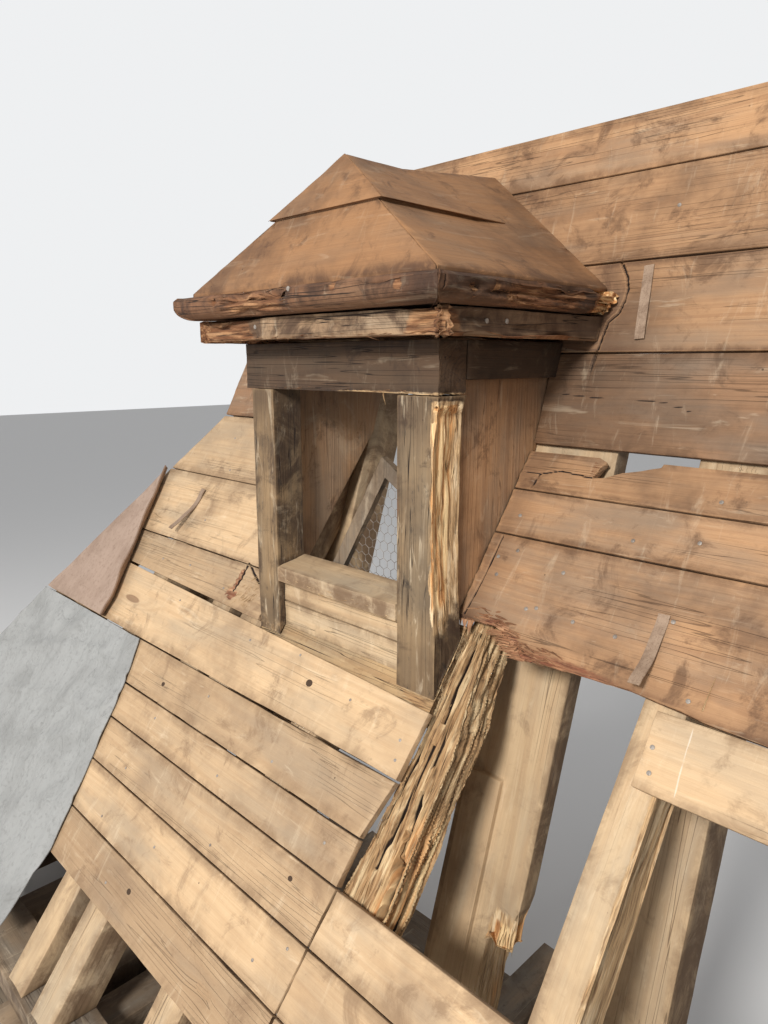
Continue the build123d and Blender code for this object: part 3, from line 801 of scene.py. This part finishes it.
fascia_splits += [(Vector((FASCIA_SIDE, y, z)), length, 0.007, 0.016) for y, z, length in (
    (-0.05, 2.218, 0.08), (0.1, 2.196, 0.08), (0.22, 2.2, 0.06), (0.3, 2.185, 0.08))]
board_scars = [(on_skirt(0.09, 1.556), 0.055, 0.022, 0.024), (on_skirt(-0.25, 0.99), 0.12, 0.004, 0.004),
               (on_skirt(0.06, 0.93), 0.25, 0.005, 0.006)]

# Grooves
spire_seams = grooves_at(on_spire, (
    0.0026, 0.012, (0.478, 0.489), (0.503, 0.447), (0.511, 0.417), (0.509, 0.384), (0.5, 0.353),
    (0.476, 0.33), (0.468, 0.29), (0.462, 0.25)))
knee_seams = grooves_at(on_spire, (0.0026, 0.012, (0.462, 0.25), (0.456, 0.22), (0.448, 0.19)), (
    0.0012, 0.003, (0.39, 0.139), (0.5, 0.132), (0.606, 0.131), (0.662, 0.128), (0.708, 0.116),
    (0.731, 0.107)))
left_seams = grooves_at(on_skirt, (0.006, 0.005, *[(x, down) for down, x in LEFT_CRACK[1:5]]),
                        (0.0045, 0.006, (-0.525, 0.557), (-0.492, 0.579), (-0.448, 0.602)))
right_seams = grooves_at(on_skirt, (0.002, 0.006, (0.35, 0.084), (0.392, 0.085), (0.384, 0.13)),
                         (0.002, 0.006, (0.392, 0.085), (0.45, 0.07), (0.54, 0.079)),
                         (0.002, 0.008, (0.365, 0.28), (0.361, 0.4), (0.351, 0.5)))
scribed_line = grooves_at(on_skirt, (0.0014, -0.0001, (0.951, 0.574), (0.952, 0.657), (0.959, 0.72)))
eave_seams = [([Vector(place) for place in (
    (EAVE_SIDE, -0.179, 2.298), (EAVE_SIDE, -0.183, 2.27), (0.492, -0.2, 2.24))], 0.0014, 0.006)]
log_fork = grooves_at(on_skirt, (0.0045, 0.02, (0.426, 0.93), (0.433, 1.02)),
                      (0.008, 0.045, (0.433, 1.02), (0.442, 1.08)),
                      (0.012, 0.07, (0.442, 1.08), (0.46, 1.2), (0.46, 1.4)),
                      (0.0035, 0.014, (0.36, 0.56), (0.352, 0.8), (0.35, 0.95)),
                      (0.0035, 0.016, (0.395, 0.53), (0.392, 0.62), (0.398, 0.76)),
                      (0.0035, 0.016, (0.415, 0.58), (0.414, 0.7), (0.42, 0.86)),
                      (0.0035, 0.014, (0.376, 0.7), (0.372, 0.9), (0.36, 1.06)),
                      (0.0035, 0.014, (0.34, 0.86), (0.325, 1.0), (0.31, 1.2)),
                      (0.0035, 0.012, (0.4, 0.82), (0.395, 1.0), (0.385, 1.12)))

# Closer cuts where a timber is marked: the spacing, its direction, and where they start and end
AT_KNEE = KNEE.dot(UP_SKIRT)
AT_KNEE_UP = KNEE.dot(UP_SPIRE)
left_cuts = ((0.0035, EAST, -0.6, -0.42), (0.0035, UP_SKIRT, AT_KNEE - 0.71, AT_KNEE - 0.54))
right_cuts = ((0.006, EAST, 0.34, 0.76), (0.0045, UP_SKIRT, AT_KNEE - 0.575, AT_KNEE - 0.49),
              (0.003, EAST, 0.347, 0.37), (0.004, UP_SKIRT, AT_KNEE - 0.1, AT_KNEE - 0.06))
knee_cuts = ((0.02, EAST, 0.38, 0.76), (0.003, UP_SPIRE, AT_KNEE_UP + 0.1, AT_KNEE_UP + 0.145),
             (0.003, EAST, 0.44, 0.47))
spire_cuts = ((0.0035, EAST, 0.455, 0.52), (0.0035, UP_SPIRE, AT_KNEE_UP + 0.25, AT_KNEE_UP + 0.489))

# Slot and wood
BASE = ("base_timber", "base")
RAFTER = ("rafter_timber", "frame")
ROTTEN = ("rotten_timber", "decayed")
SKIRT_BOARDS = ("skirt_boards", "skirt")
BROWN_BOARDS = ("brown_boards", "brown")
POST = ("dormer_timber", "dormer")
# The head beam and side plates under the eaves, in dark timber with painted shade
DARK_SHADED = ("dormer_timber", "dark_shaded")
SILL = ("dormer_timber", "frame")
CHEEK = ("dormer_timber", "brown")
ROOF = ("cornice_timber", "roof")

# Spacing of the cuts along, across and through a timber
coarse_steps = (0.07, 0.05, 0.05)
rafter_steps = (0.06, 0.05, 0.05)
dormer_steps = (0.06, 0.04, 0.04)
plank_steps = (0.04, 0.04, 0.04)
close_steps = (0.03, 0.03, 0.03)
board_steps = (0.045, 0.035, 0.03)
fine_steps = (0.014, 0.014, 0.012)
cornice_steps = (0.01, 0.03, 0.007)

dress("outer_wall_plate", BASE, EAST, UP, (0.09, 0.05, 0.05))
dress("inner_wall_plate", BASE, EAST, UP, (0.09, 0.05, 0.05))
dress("tie_beams", BASE, INWARD, UP, coarse_steps)
dress("eaves_plate", BASE, EAST, UP, coarse_steps)
dress("main_rafters_left", RAFTER, UP_SPIRE, OFF_SPIRE, rafter_steps)
dress("main_rafters_right", RAFTER, UP_SPIRE, OFF_SPIRE, (0.03, 0.025, 0.03), rot=rot_in_right_rafters,
      rot_depth=0.02)
dress("lower_rafters_left", RAFTER, UP_SKIRT, OFF_SKIRT, (0.05, 0.04, 0.05), chip=0.01)
dress("lower_rafters_right", RAFTER, UP_SKIRT, OFF_SKIRT, (0.05, 0.04, 0.05), chip=0.01)
dress("lower_rafters_middle", RAFTER, UP_SKIRT, OFF_SKIRT, (0.05, 0.04, 0.05))
dress("broad_lower_rafter", RAFTER, UP_SKIRT, OFF_SKIRT, (0.02, 0.012, 0.02), rot=rot_in_broad_rafter,
      rot_depth=0.014)
dress("top_plate", RAFTER, EAST, UP, (0.08, 0.05, 0.05))
dress("dormer_header", ROTTEN, EAST, OFF_SKIRT, (0.02, 0.02, 0.03), rot=rot_in_header)
dress("left_boards", SKIRT_BOARDS, EAST, OFF_SKIRT, board_steps, rot=rot_in_left_boards, rot_depth=0.014,
      grooves=left_seams, closer=left_cuts)
dress("front_boards", SKIRT_BOARDS, EAST, OFF_SKIRT, board_steps, scars=board_scars,
      dirt_and_shade=dirt_on_front_boards, closer=((0.008, EAST, 0.02, 0.16),))
dress("foot_boards_right", SKIRT_BOARDS, EAST, OFF_SKIRT, board_steps)
dress("right_boards", BROWN_BOARDS, EAST, OFF_SKIRT, (0.03, 0.01, 0.012), rot=rot_in_right_boards,
      rot_depth=0.017, dirt_and_shade=dirt_on_right_boards, grooves=right_seams, closer=right_cuts)
dress("knee_boards", ("brown_boards", "dark"), EAST, OFF_SPIRE, board_steps, grooves=knee_seams,
      dirt_and_shade=darker_by_dormer, closer=knee_cuts)
dress("spire_boards", BROWN_BOARDS, EAST, OFF_SPIRE, board_steps, grooves=spire_seams, dirt_and_shade=darker_by_dormer,
      closer=spire_cuts)
dress("loose_board", SKIRT_BOARDS, EAST, OFF_SKIRT, close_steps, chip=0.005, grooves=scribed_line,
      closer=((0.003, EAST, 0.945, 0.967),))
dress("left_post", POST, UP, -INWARD, fine_steps, rot=rot_in_left_post, dirt_and_shade=darker_at_wall_top_and_foot, fray=0.0)
dress("right_post", POST, UP, -INWARD, (0.009, 0.008, 0.008), rot=rot_in_right_post, rot_depth=0.013,
      dirt_and_shade=darker_at_wall_top_and_foot, fray=0.0)
dress("head_beam", DARK_SHADED, EAST, -INWARD, fine_steps, rot=rot_in_head, rot_depth=0.01)
dress("window_sill", SILL, EAST, UP, (0.012, 0.02, 0.012), chip=0.012)
dress("apron_boards", SILL, EAST, -INWARD, close_steps)
dress("left_cheek", CHEEK, UP, -EAST, plank_steps, fray=0.0, rough=0.0006, dirt_and_shade=darker_at_wall_top_and_foot)
dress("right_cheek", CHEEK, UP, EAST, plank_steps, fray=0.0, rough=0.0006, dirt_and_shade=darker_at_wall_top_and_foot)
dress("side_plates", DARK_SHADED, INWARD, EAST, close_steps, rough=0.0006, chip=0.001)
dress("cornice_fascia", ("cornice_timber", "fascia"), None, UP, cornice_steps, rot=rot_in_fascia,
      rot_depth=0.02, scars=fascia_splits, rough=0.004, chip=0.01, corner=(FASCIA_SIDE, FASCIA_FRONT),
      dirt_and_shade=painted_shade_on_cornice)
dress("eave_moulding", ("cornice_timber", "cornice"), None, UP, cornice_steps, rot=rot_in_eaves,
      rot_depth=0.02, scars=eave_splits, rough=0.0035, corner=(EAVE_SIDE, EAVE_FRONT), dirt_and_shade=painted_shade_on_cornice,
      grooves=eave_seams, closer=((0.003, INWARD, -0.2, -0.175),))
dress("dormer_front_slope", ROOF, EAST, UP, plank_steps, arris=0.005)
dress("dormer_left_slope", ROOF, INWARD, UP, plank_steps, arris=0.005)
dress("dormer_right_slope", ROOF, INWARD, UP, plank_steps, arris=0.005)
dress("dormer_ridge", RAFTER, INWARD, UP, dormer_steps)
dress("dormer_rafters", RAFTER, EAST, UP, dormer_steps)
dress("dormer_hips", RAFTER, EAST, UP, dormer_steps)
dress("netting_frame", ("netting_wood", "base"), UP, -INWARD, (0.03, 0.02, 0.03))
dress("split_rafter", ROTTEN, UP_SKIRT, OFF_SKIRT, None, skin=0.0055, rot=rot_in_log, rot_depth=0.022,
      rough=0.004, grooves=log_fork)
for side, name in ((-1, "left"), (1, "right")):
    level = Vector((1, side, 0)).normalized()
    for place, pitch in (("upper", SPIRE), ("lower", SKIRT)):
        along = Vector((-side * math.cos(pitch), math.cos(pitch), math.sin(pitch))).normalized()
        dress(place + "_hip_" + name, RAFTER, along, along.cross(level), rafter_steps)
dress("dragon_ties", BASE, Vector((1, 1, 0)).normalized(), UP, coarse_steps)


# Sheets and straps
def lead_rise(place):
    """Dents, long creases, and the bulge along the cut right edge."""
    down = below_knee(place)
    inside = between(down, LEAD_EDGE) - place.x
    bulge = 0.02 * math.exp(-((inside - 0.045) / 0.03) ** 2)
    bulge += 0.008 * math.exp(-((inside - 0.16) / 0.05) ** 2)
    bulge *= 0.7 + 0.6 * noise((down * 6, 1, 3))
    dents = 0.006 * noise((place.x * 5, down * 5, 2))
    dents += 0.003 * noise((place.x * 17, down * 17, 5))
    crease = (1 - abs(noise((place.x * 4.1 + down * 1.3, down * 1.7, 9)))) ** 14 * 0.011
    fold = (1 - abs(noise((place.x * 1.5, down * 5.2 + place.x * 2, 4)))) ** 18 * 0.012
    settled = swell(inside, 0.0, 0.05) * 0.4 + 0.6
    return max(0.0, bulge + (dents + crease + fold) * settled + 0.002)


def covering_rise(place):
    """Waves, and the right edge turned up in a lip."""
    down = below_knee(place)
    inside = between(down, OLD_EDGE) - place.x
    waves = 0.004 + 0.004 * noise((place.x * 8, down * 8, 1))
    lip = 0.034 * (1 - swell(inside, 0.0, 0.03)) * (0.8 + 0.5 * noise((down * 9, 2, 2)))
    return max(0.0, waves) + lip


def strap_rise(place):
    """Lies at its nailed top and springs up at its foot."""
    if place.z > KNEE.z:
        return 0.004 * swell(place.z, 2.36, 2.2)
    down = below_knee(place)
    free = swell(down, 0.44, 0.55) if place.x > 0 else swell(down, 0.42, 0.53)
    return 0.002 + 0.034 * free + 0.003 * math.sin(down * 60)


for node, slot, rise, steps, material in (
        ("lead_sheet", "grey_sheet", lead_rise, (0.016, 0.016),
         plain_metal("lead_sheet", (149, 148, 144), (118, 117, 113), 0.52, 0.1, 6.0, 0.009)),
        ("old_covering", "old_sheet", covering_rise, (0.01, 0.03),
         plain_metal("old_covering", (160, 136, 118), (122, 98, 80), 0.65, 0.1, 7.0, 0.0016)),
        ("metal_straps", "strap_iron", strap_rise, (0.012, 0.012),
         plain_metal("strap_iron", (156, 132, 110), (98, 72, 52), 0.6, 0.35, 30.0))):
    piece = joined(timbers_of(node), node + "_bent")
    for step, direction in zip(steps, (EAST, UP_SKIRT)):
        cut_every(piece, step, direction)
    for vertex in piece.data.vertices:
        vertex.co += OFF_SKIRT * rise(vertex.co.copy())
    finished(piece, slot, material, node)

# Netting in its leaning frame
NETTING_OUTLINE = [(-0.166, 1.478), (0.072, 1.86), (0.286, 1.728), (0.164, 1.478)]
NETTING_DEPTH = 0.0845
NETTING_CELL = 0.028
NETTING_WIRE = 0.0008


def hexagon_netting(outline, depth, cell, wire):
    """Wire netting of six-sided cells, cut to the outline of its frame."""
    radius = cell / math.sqrt(3)
    low = [min(places) for places in zip(*outline)]
    high = [max(places) for places in zip(*outline)]
    netting = new_shape(bpy.ops.mesh.primitive_circle_add, vertices=6, radius=radius)
    netting.name = "wire_netting"
    for count, offset in ((2, (cell / 2, radius * 1.5, 0)),
                          (int((high[0] - low[0]) / cell) + 2, (cell, 0, 0)),
                          (int((high[1] - low[1]) / (3 * radius)) + 2, (0, 3 * radius, 0))):
        changed(netting, "ARRAY", count=count, use_relative_offset=False, use_constant_offset=True,
                constant_offset_displace=offset)
    with editing(netting):
        bpy.ops.mesh.remove_doubles(threshold=0.001)
    for vertex in netting.data.vertices:
        x, z = vertex.co.x + low[0] - cell / 2, vertex.co.y + low[1] - radius
        x += 0.004 * noise((x * 9, z * 9, 1))
        z += 0.004 * noise((x * 9, z * 9, 5))
        vertex.co = Vector((x, depth + 0.004 * noise((x * 6, z * 6, 3)), z))
    with editing(netting):
        for (ax, az), (bx, bz) in zip(outline, outline[1:] + outline[:1]):
            cut((ax, 0, az), (az - bz, 0, bx - ax), clear_outer=True)
    bpy.ops.object.convert(target="CURVE")
    bpy.context.object.data.bevel_depth = wire
    bpy.context.object.data.bevel_resolution = 0
    bpy.ops.object.convert(target="MESH")
    return bpy.context.object


iron = plain_metal("nail_iron", (150, 141, 131), (80, 64, 52), 0.45, 0.5, 60.0)
netting = hexagon_netting(NETTING_OUTLINE, NETTING_DEPTH, NETTING_CELL, NETTING_WIRE)
finished(netting, "strap_iron", iron)


# Nails, splinters and crumbs
SPLINTER_ROT = 0.7


def sliver_shape():
    """A flat splinter a unit long that ends in a point."""
    shape = new_shape(bpy.ops.mesh.primitive_cone_add, vertices=5, radius1=0.5, radius2=0.02, depth=1.0,
                      location=(0, 0, 0.5))
    bpy.ops.object.transform_apply()
    cut_every(shape, 0.3, UP)
    grain = []
    for vertex in shape.data.vertices:
        z = vertex.co.z
        vertex.co += Vector((0.35 * z * z, 0.25 * math.sin(z * 5), 0))
        grain += [vertex.co.z * 0.03, vertex.co.x * 0.004, vertex.co.y * 0.004]
    keep(shape, "grain", grain, "FLOAT_VECTOR")
    keep(shape, "rot", [SPLINTER_ROT] * len(shape.data.vertices))
    return shape


def nail_shape():
    """A nail's low head, standing on the surface."""
    shape = new_shape(bpy.ops.mesh.primitive_circle_add, vertices=9, radius=1.0, fill_type="NGON",
                      location=(0, 0, -0.2))
    with editing(shape):
        bpy.ops.mesh.extrude_region_move(TRANSFORM_OT_translate={"value": (0, 0, 0.4)})
        bpy.ops.mesh.extrude_region_move(TRANSFORM_OT_translate={"value": (0, 0, 0.14)})
        bpy.ops.transform.resize(value=(0.6, 0.6, 1))
    bpy.ops.object.transform_apply()
    return shape


def crumb_shape():
    """A broken bit of decayed wood."""
    shape = new_shape(bpy.ops.mesh.primitive_ico_sphere_add, subdivisions=1, radius=0.5)
    for vertex in shape.data.vertices:
        vertex.co *= 0.7 + 0.6 * noise(vertex.co * 3)
    return shape


def stamped(shape, name, places):
    """Copies of a shape joined in one piece, each at a place, along a direction, with its three sizes."""
    copies = []
    for place, along, off, size in places:
        along = along.normalized()
        side = along.cross(off).normalized()
        turn = Matrix((side, side.cross(along) * -1, along)).transposed().to_4x4()
        copy = shape.copy()
        copy.data = shape.data.copy()
        if "grain" in copy.data.attributes:
            shift = Vector((place.x * 7 + place.z * 5, place.y * 3, place.z * 3))
            for point in copy.data.attributes["grain"].data:
                point.vector = Vector(point.vector) + shift
        copy.matrix_world = Matrix.Translation(place) @ turn @ Matrix.Diagonal((*size, 1))
        bpy.context.collection.objects.link(copy)
        copies.append(copy)
    bpy.data.objects.remove(shape)
    bpy.context.view_layer.update()
    piece = joined(copies, name)
    bpy.ops.object.transform_apply()
    return piece


def touched(node, place, toward):
    """Where a line from a place meets a worn piece."""
    met, hit = bpy.data.objects[node + "_worn"].ray_cast(place, toward)[:2]
    return hit if met else None


def over_skirt(x, down):
    """A place clear of the skirt boards' face, to look for a surface from."""
    return on_skirt(x, down, 0.1)


chance = random.Random(11)
uniform, choice = chance.uniform, chance.choice
splinters = {"decayed": [], "cornice": [], "brown": []}


def splinter(wood, node, start, toward, along, length, width):
    """One splinter rooted in a piece."""
    root = touched(node, start, toward)
    if root:
        lean = Vector([uniform(-0.12, 0.12) for axis in range(3)])
        long = uniform(*length)
        wide = uniform(*width)
        size = (wide * 0.4, wide, long)
        splinters[wood].append((root + toward * wide * 0.3, along + lean - toward * 0.05, toward, size))


def scatter(count, wood, node, start, toward, along, droop, length, width):
    """Splinters that start at places between limits, and lie one way or the other along a timber."""
    for index in range(count):
        place = Vector([uniform(*limits) if isinstance(limits, tuple) else limits for limits in start])
        splinter(wood, node, place, toward, along * choice((-1, 1)) - UP * droop, length, width)


for index in range(64):
    x = uniform(0.38, 0.62)
    start = over_skirt(x, between(x, TORN_FOOT) - uniform(0.003, 0.04))
    splinter("brown", "right_boards", start, -OFF_SKIRT,
             EAST * choice((-1, 1, 1)) - UP_SKIRT * uniform(0, 0.3), (0.02, 0.07), (0.006, 0.016))
for index in range(16):
    splinter("decayed", "split_rafter", over_skirt(0.368, uniform(0.53, 0.56)), -OFF_SKIRT,
             UP_SKIRT - EAST * uniform(0.2, 0.8), (0.03, 0.055), (0.008, 0.013))
for index in range(16):
    splinter("brown", "right_boards", over_skirt(0.53, uniform(0.03, 0.08)), -OFF_SKIRT,
             EAST, (0.012, 0.03), (0.003, 0.006))
for index in range(60):
    start = over_skirt(uniform(-0.53, -0.42), uniform(0.6, 0.68))
    splinter("decayed", "left_boards", start, -OFF_SKIRT,
             (EAST * 0.6 + UP_SKIRT * 0.8) * choice((-1, 1)), (0.015, 0.05), (0.0015, 0.003))
for index in range(90):
    down = uniform(0.513, 0.562)
    root = on_skirt(between(down, TORN_END) + uniform(0.0, 0.02), down, -uniform(0.001, 0.02))
    wide = uniform(0.003, 0.007)
    along = UP_SKIRT * uniform(-0.2, 0.1) - EAST
    splinters["brown"].append((root, along, -OFF_SKIRT, (wide, wide * 0.5, uniform(0.03, 0.065))))
for x in (0.346, 0.354, 0.363, 0.372, 0.381):
    along = EAST * uniform(-0.2, 0.2) - UP_SKIRT
    size = (0.013, 0.005, uniform(0.025, 0.04))
    splinters["brown"].append((on_skirt(x, 0.506, -0.006), along, -OFF_SKIRT, size))
for index in range(150):
    down = choice((uniform(0.5, 0.57), uniform(0.5, 0.57), uniform(0.57, 1.2)))
    splinter("decayed", "split_rafter", on_skirt(uniform(0.3, 0.45), down, 0.2), -OFF_SKIRT,
             UP_SKIRT * choice((-1, 1, 1)), (0.025, 0.08), (0.004, 0.009))
scatter(44, "decayed", "right_post", (0.6, (-0.036, 0.05), (1.5, 2.02)), -EAST, UP, 0,
        (0.02, 0.08), (0.003, 0.006))
scatter(26, "cornice", "head_beam", ((-0.25, 0.37), -0.3, (2.052, 2.062)), INWARD, EAST, 0.15,
        (0.012, 0.04), (0.002, 0.004))
scatter(40, "cornice", "eave_moulding", ((-0.3, 0.02), -0.5, (2.262, 2.3)), INWARD, EAST, 0,
        (0.015, 0.05), (0.003, 0.006))
scatter(40, "cornice", "eave_moulding", (0.8, (-0.1, 0.45), (2.25, 2.3)), -EAST, INWARD, 0,
        (0.015, 0.05), (0.003, 0.006))
scatter(50, "cornice", "cornice_fascia", ((-0.45, 0.45), -0.5, (2.178, 2.19)), INWARD, EAST, 0.1,
        (0.015, 0.05), (0.003, 0.005))
for index in range(24):
    start = Vector((uniform(0.5, 0.567), -0.9, uniform(0.695, 0.76)))
    splinter("decayed", "main_rafters_right", start, INWARD, -UP_SPIRE, (0.02, 0.06), (0.003, 0.007))
scatter(24, "decayed", "window_sill", ((-0.24, 0.22), -0.4, (1.49, 1.51)), INWARD, EAST, 0.1,
        (0.015, 0.04), (0.002, 0.004))
splinters["decayed"] += [
    (on_skirt(0.955, 0.545, -0.001), UP_SKIRT + EAST * 0.06, -OFF_SKIRT, (0.003, 0.007, 0.1)),
    (Vector((0.174, -0.03, 2.054)), -UP + EAST * 0.15, INWARD, (0.003, 0.006, 0.032))]
for wood, places in splinters.items():
    finished(stamped(sliver_shape(), wood + "_splinters", places), "rotten_timber", WOODS[wood])

# Nails: the boards, the heads' half width, and each nail's place
nails = []
for node, wide, spots in (
        ("right_boards", 0.005,
         ((0.387, 0.212), (0.699, 0.225), (0.842, 0.203), (0.856, 0.1), (0.566, 0.337), (0.51, 0.445),
          (0.635, 0.445), (0.74, 0.451), (0.3765, 0.333), (0.393, 0.38), (0.424, 0.307), (0.925, 0.535),
          (0.846, 0.387), (0.535, 0.437), (1.28, 0.2), (1.3, 0.33), (1.285, 0.46), (1.31, 0.1), (1.69, 0.21),
          (1.71, 0.41))),
        ("left_boards", 0.004,
         ((-0.926, 0.237), (-0.906, 0.452), (-0.845, 0.627), (-0.6, 0.12), (-0.59, 0.4), (-1.02, 0.35),
          (-1.01, 0.1), (-1.03, 0.64), (-0.6, 0.66))),
        ("front_boards", 0.004,
         ((-0.034, 0.685), (-0.116, 0.756), (-0.347, 0.777), (-0.792, 0.754), (0.13, 0.808), (0.33, 0.842),
          (0.341, 0.888), (-0.4, 0.98), (-0.03, 1.04), (-0.59, 1.12), (-0.2, 1.15), (0.25, 1.13),
          (-0.6, 1.29), (-0.1, 1.3), (0.28, 1.36), (-0.59, 1.44), (0.2, 1.43), (-0.42, 1.56), (-0.3, 1.4))),
        ("loose_board", 0.005, ((0.89, 0.642), (0.9, 0.69), (1.28, 0.62), (1.3, 0.68)))):
    for x, down in spots:
        place = touched(node, over_skirt(x, down), -OFF_SKIRT)
        if place:
            nails.append((place, OFF_SKIRT + EAST * uniform(-0.15, 0.15), UP_SKIRT, (wide, wide, wide)))
for x, climb in ((0.55, 0.43), (0.86, 0.43), (0.6, 0.62), (0.87, 0.64), (1.3, 0.4), (1.28, 0.65),
                 (-0.6, 0.4), (-1.0, 0.45), (-0.6, 0.65)):
    place = touched("spire_boards", on_spire(x, climb, 0.1), -OFF_SPIRE)
    if place:
        nails.append((place, OFF_SPIRE, UP_SPIRE, (0.005, 0.005, 0.005)))
for node, start, toward in (
        ("eave_moulding", Vector((0.031, -0.5, 2.292)), INWARD),
        ("cornice_fascia", Vector((0.7, 0.002, 2.211)), -EAST),
        ("cornice_fascia", Vector((0.7, 0.07, 2.213)), -EAST),
        ("cornice_fascia", Vector((-0.2, -0.5, 2.215)), INWARD)):
    place = touched(node, start, toward)
    if place:
        nails.append((place, -toward, UP, (0.006, 0.006, 0.006)))
finished(stamped(nail_shape(), "nail_heads", nails), "strap_iron", iron)

knots = []
for x, down, wide in ((-0.034, 0.815, 0.013), (-0.64, 1.02, 0.009), (0.2, 1.24, 0.008), (-0.31, 1.53, 0.01)):
    place = touched("front_boards", over_skirt(x, down), -OFF_SKIRT)
    knots.append((place, OFF_SKIRT, UP_SKIRT, (wide, wide * 0.8, 0.0012)))
finished(stamped(nail_shape(), "knots", knots), "skirt_boards", WOODS["dark_shaded"])

# Crumbs, fallen from the rotten timbers on what lies below
CRUMB_TRIES = 1200
MOST_CRUMBS = 160
bpy.context.view_layer.update()
crumbs = []
for index in range(CRUMB_TRIES):
    start = Vector((chance.gauss(0.5, 0.09), chance.gauss(-0.14, 0.12), 0.6))
    below = bpy.context.scene.ray_cast(bpy.context.evaluated_depsgraph_get(), start, -UP)
    met, place, normal = below[:3]
    if met and normal.z > 0.8 and 0.02 < place.z < 0.4 and len(crumbs) < MOST_CRUMBS:
        wide = uniform(0.004, 0.013)
        turned = Vector((uniform(-1, 1), uniform(-1, 1), 0.1))
        size = (wide * 0.7, wide * 0.5, wide * uniform(1, 2.4))
        crumbs.append((place + UP * wide * 0.12, turned, UP, size))
finished(stamped(crumb_shape(), "crumbs", crumbs), "rotten_timber", WOODS["decayed"])
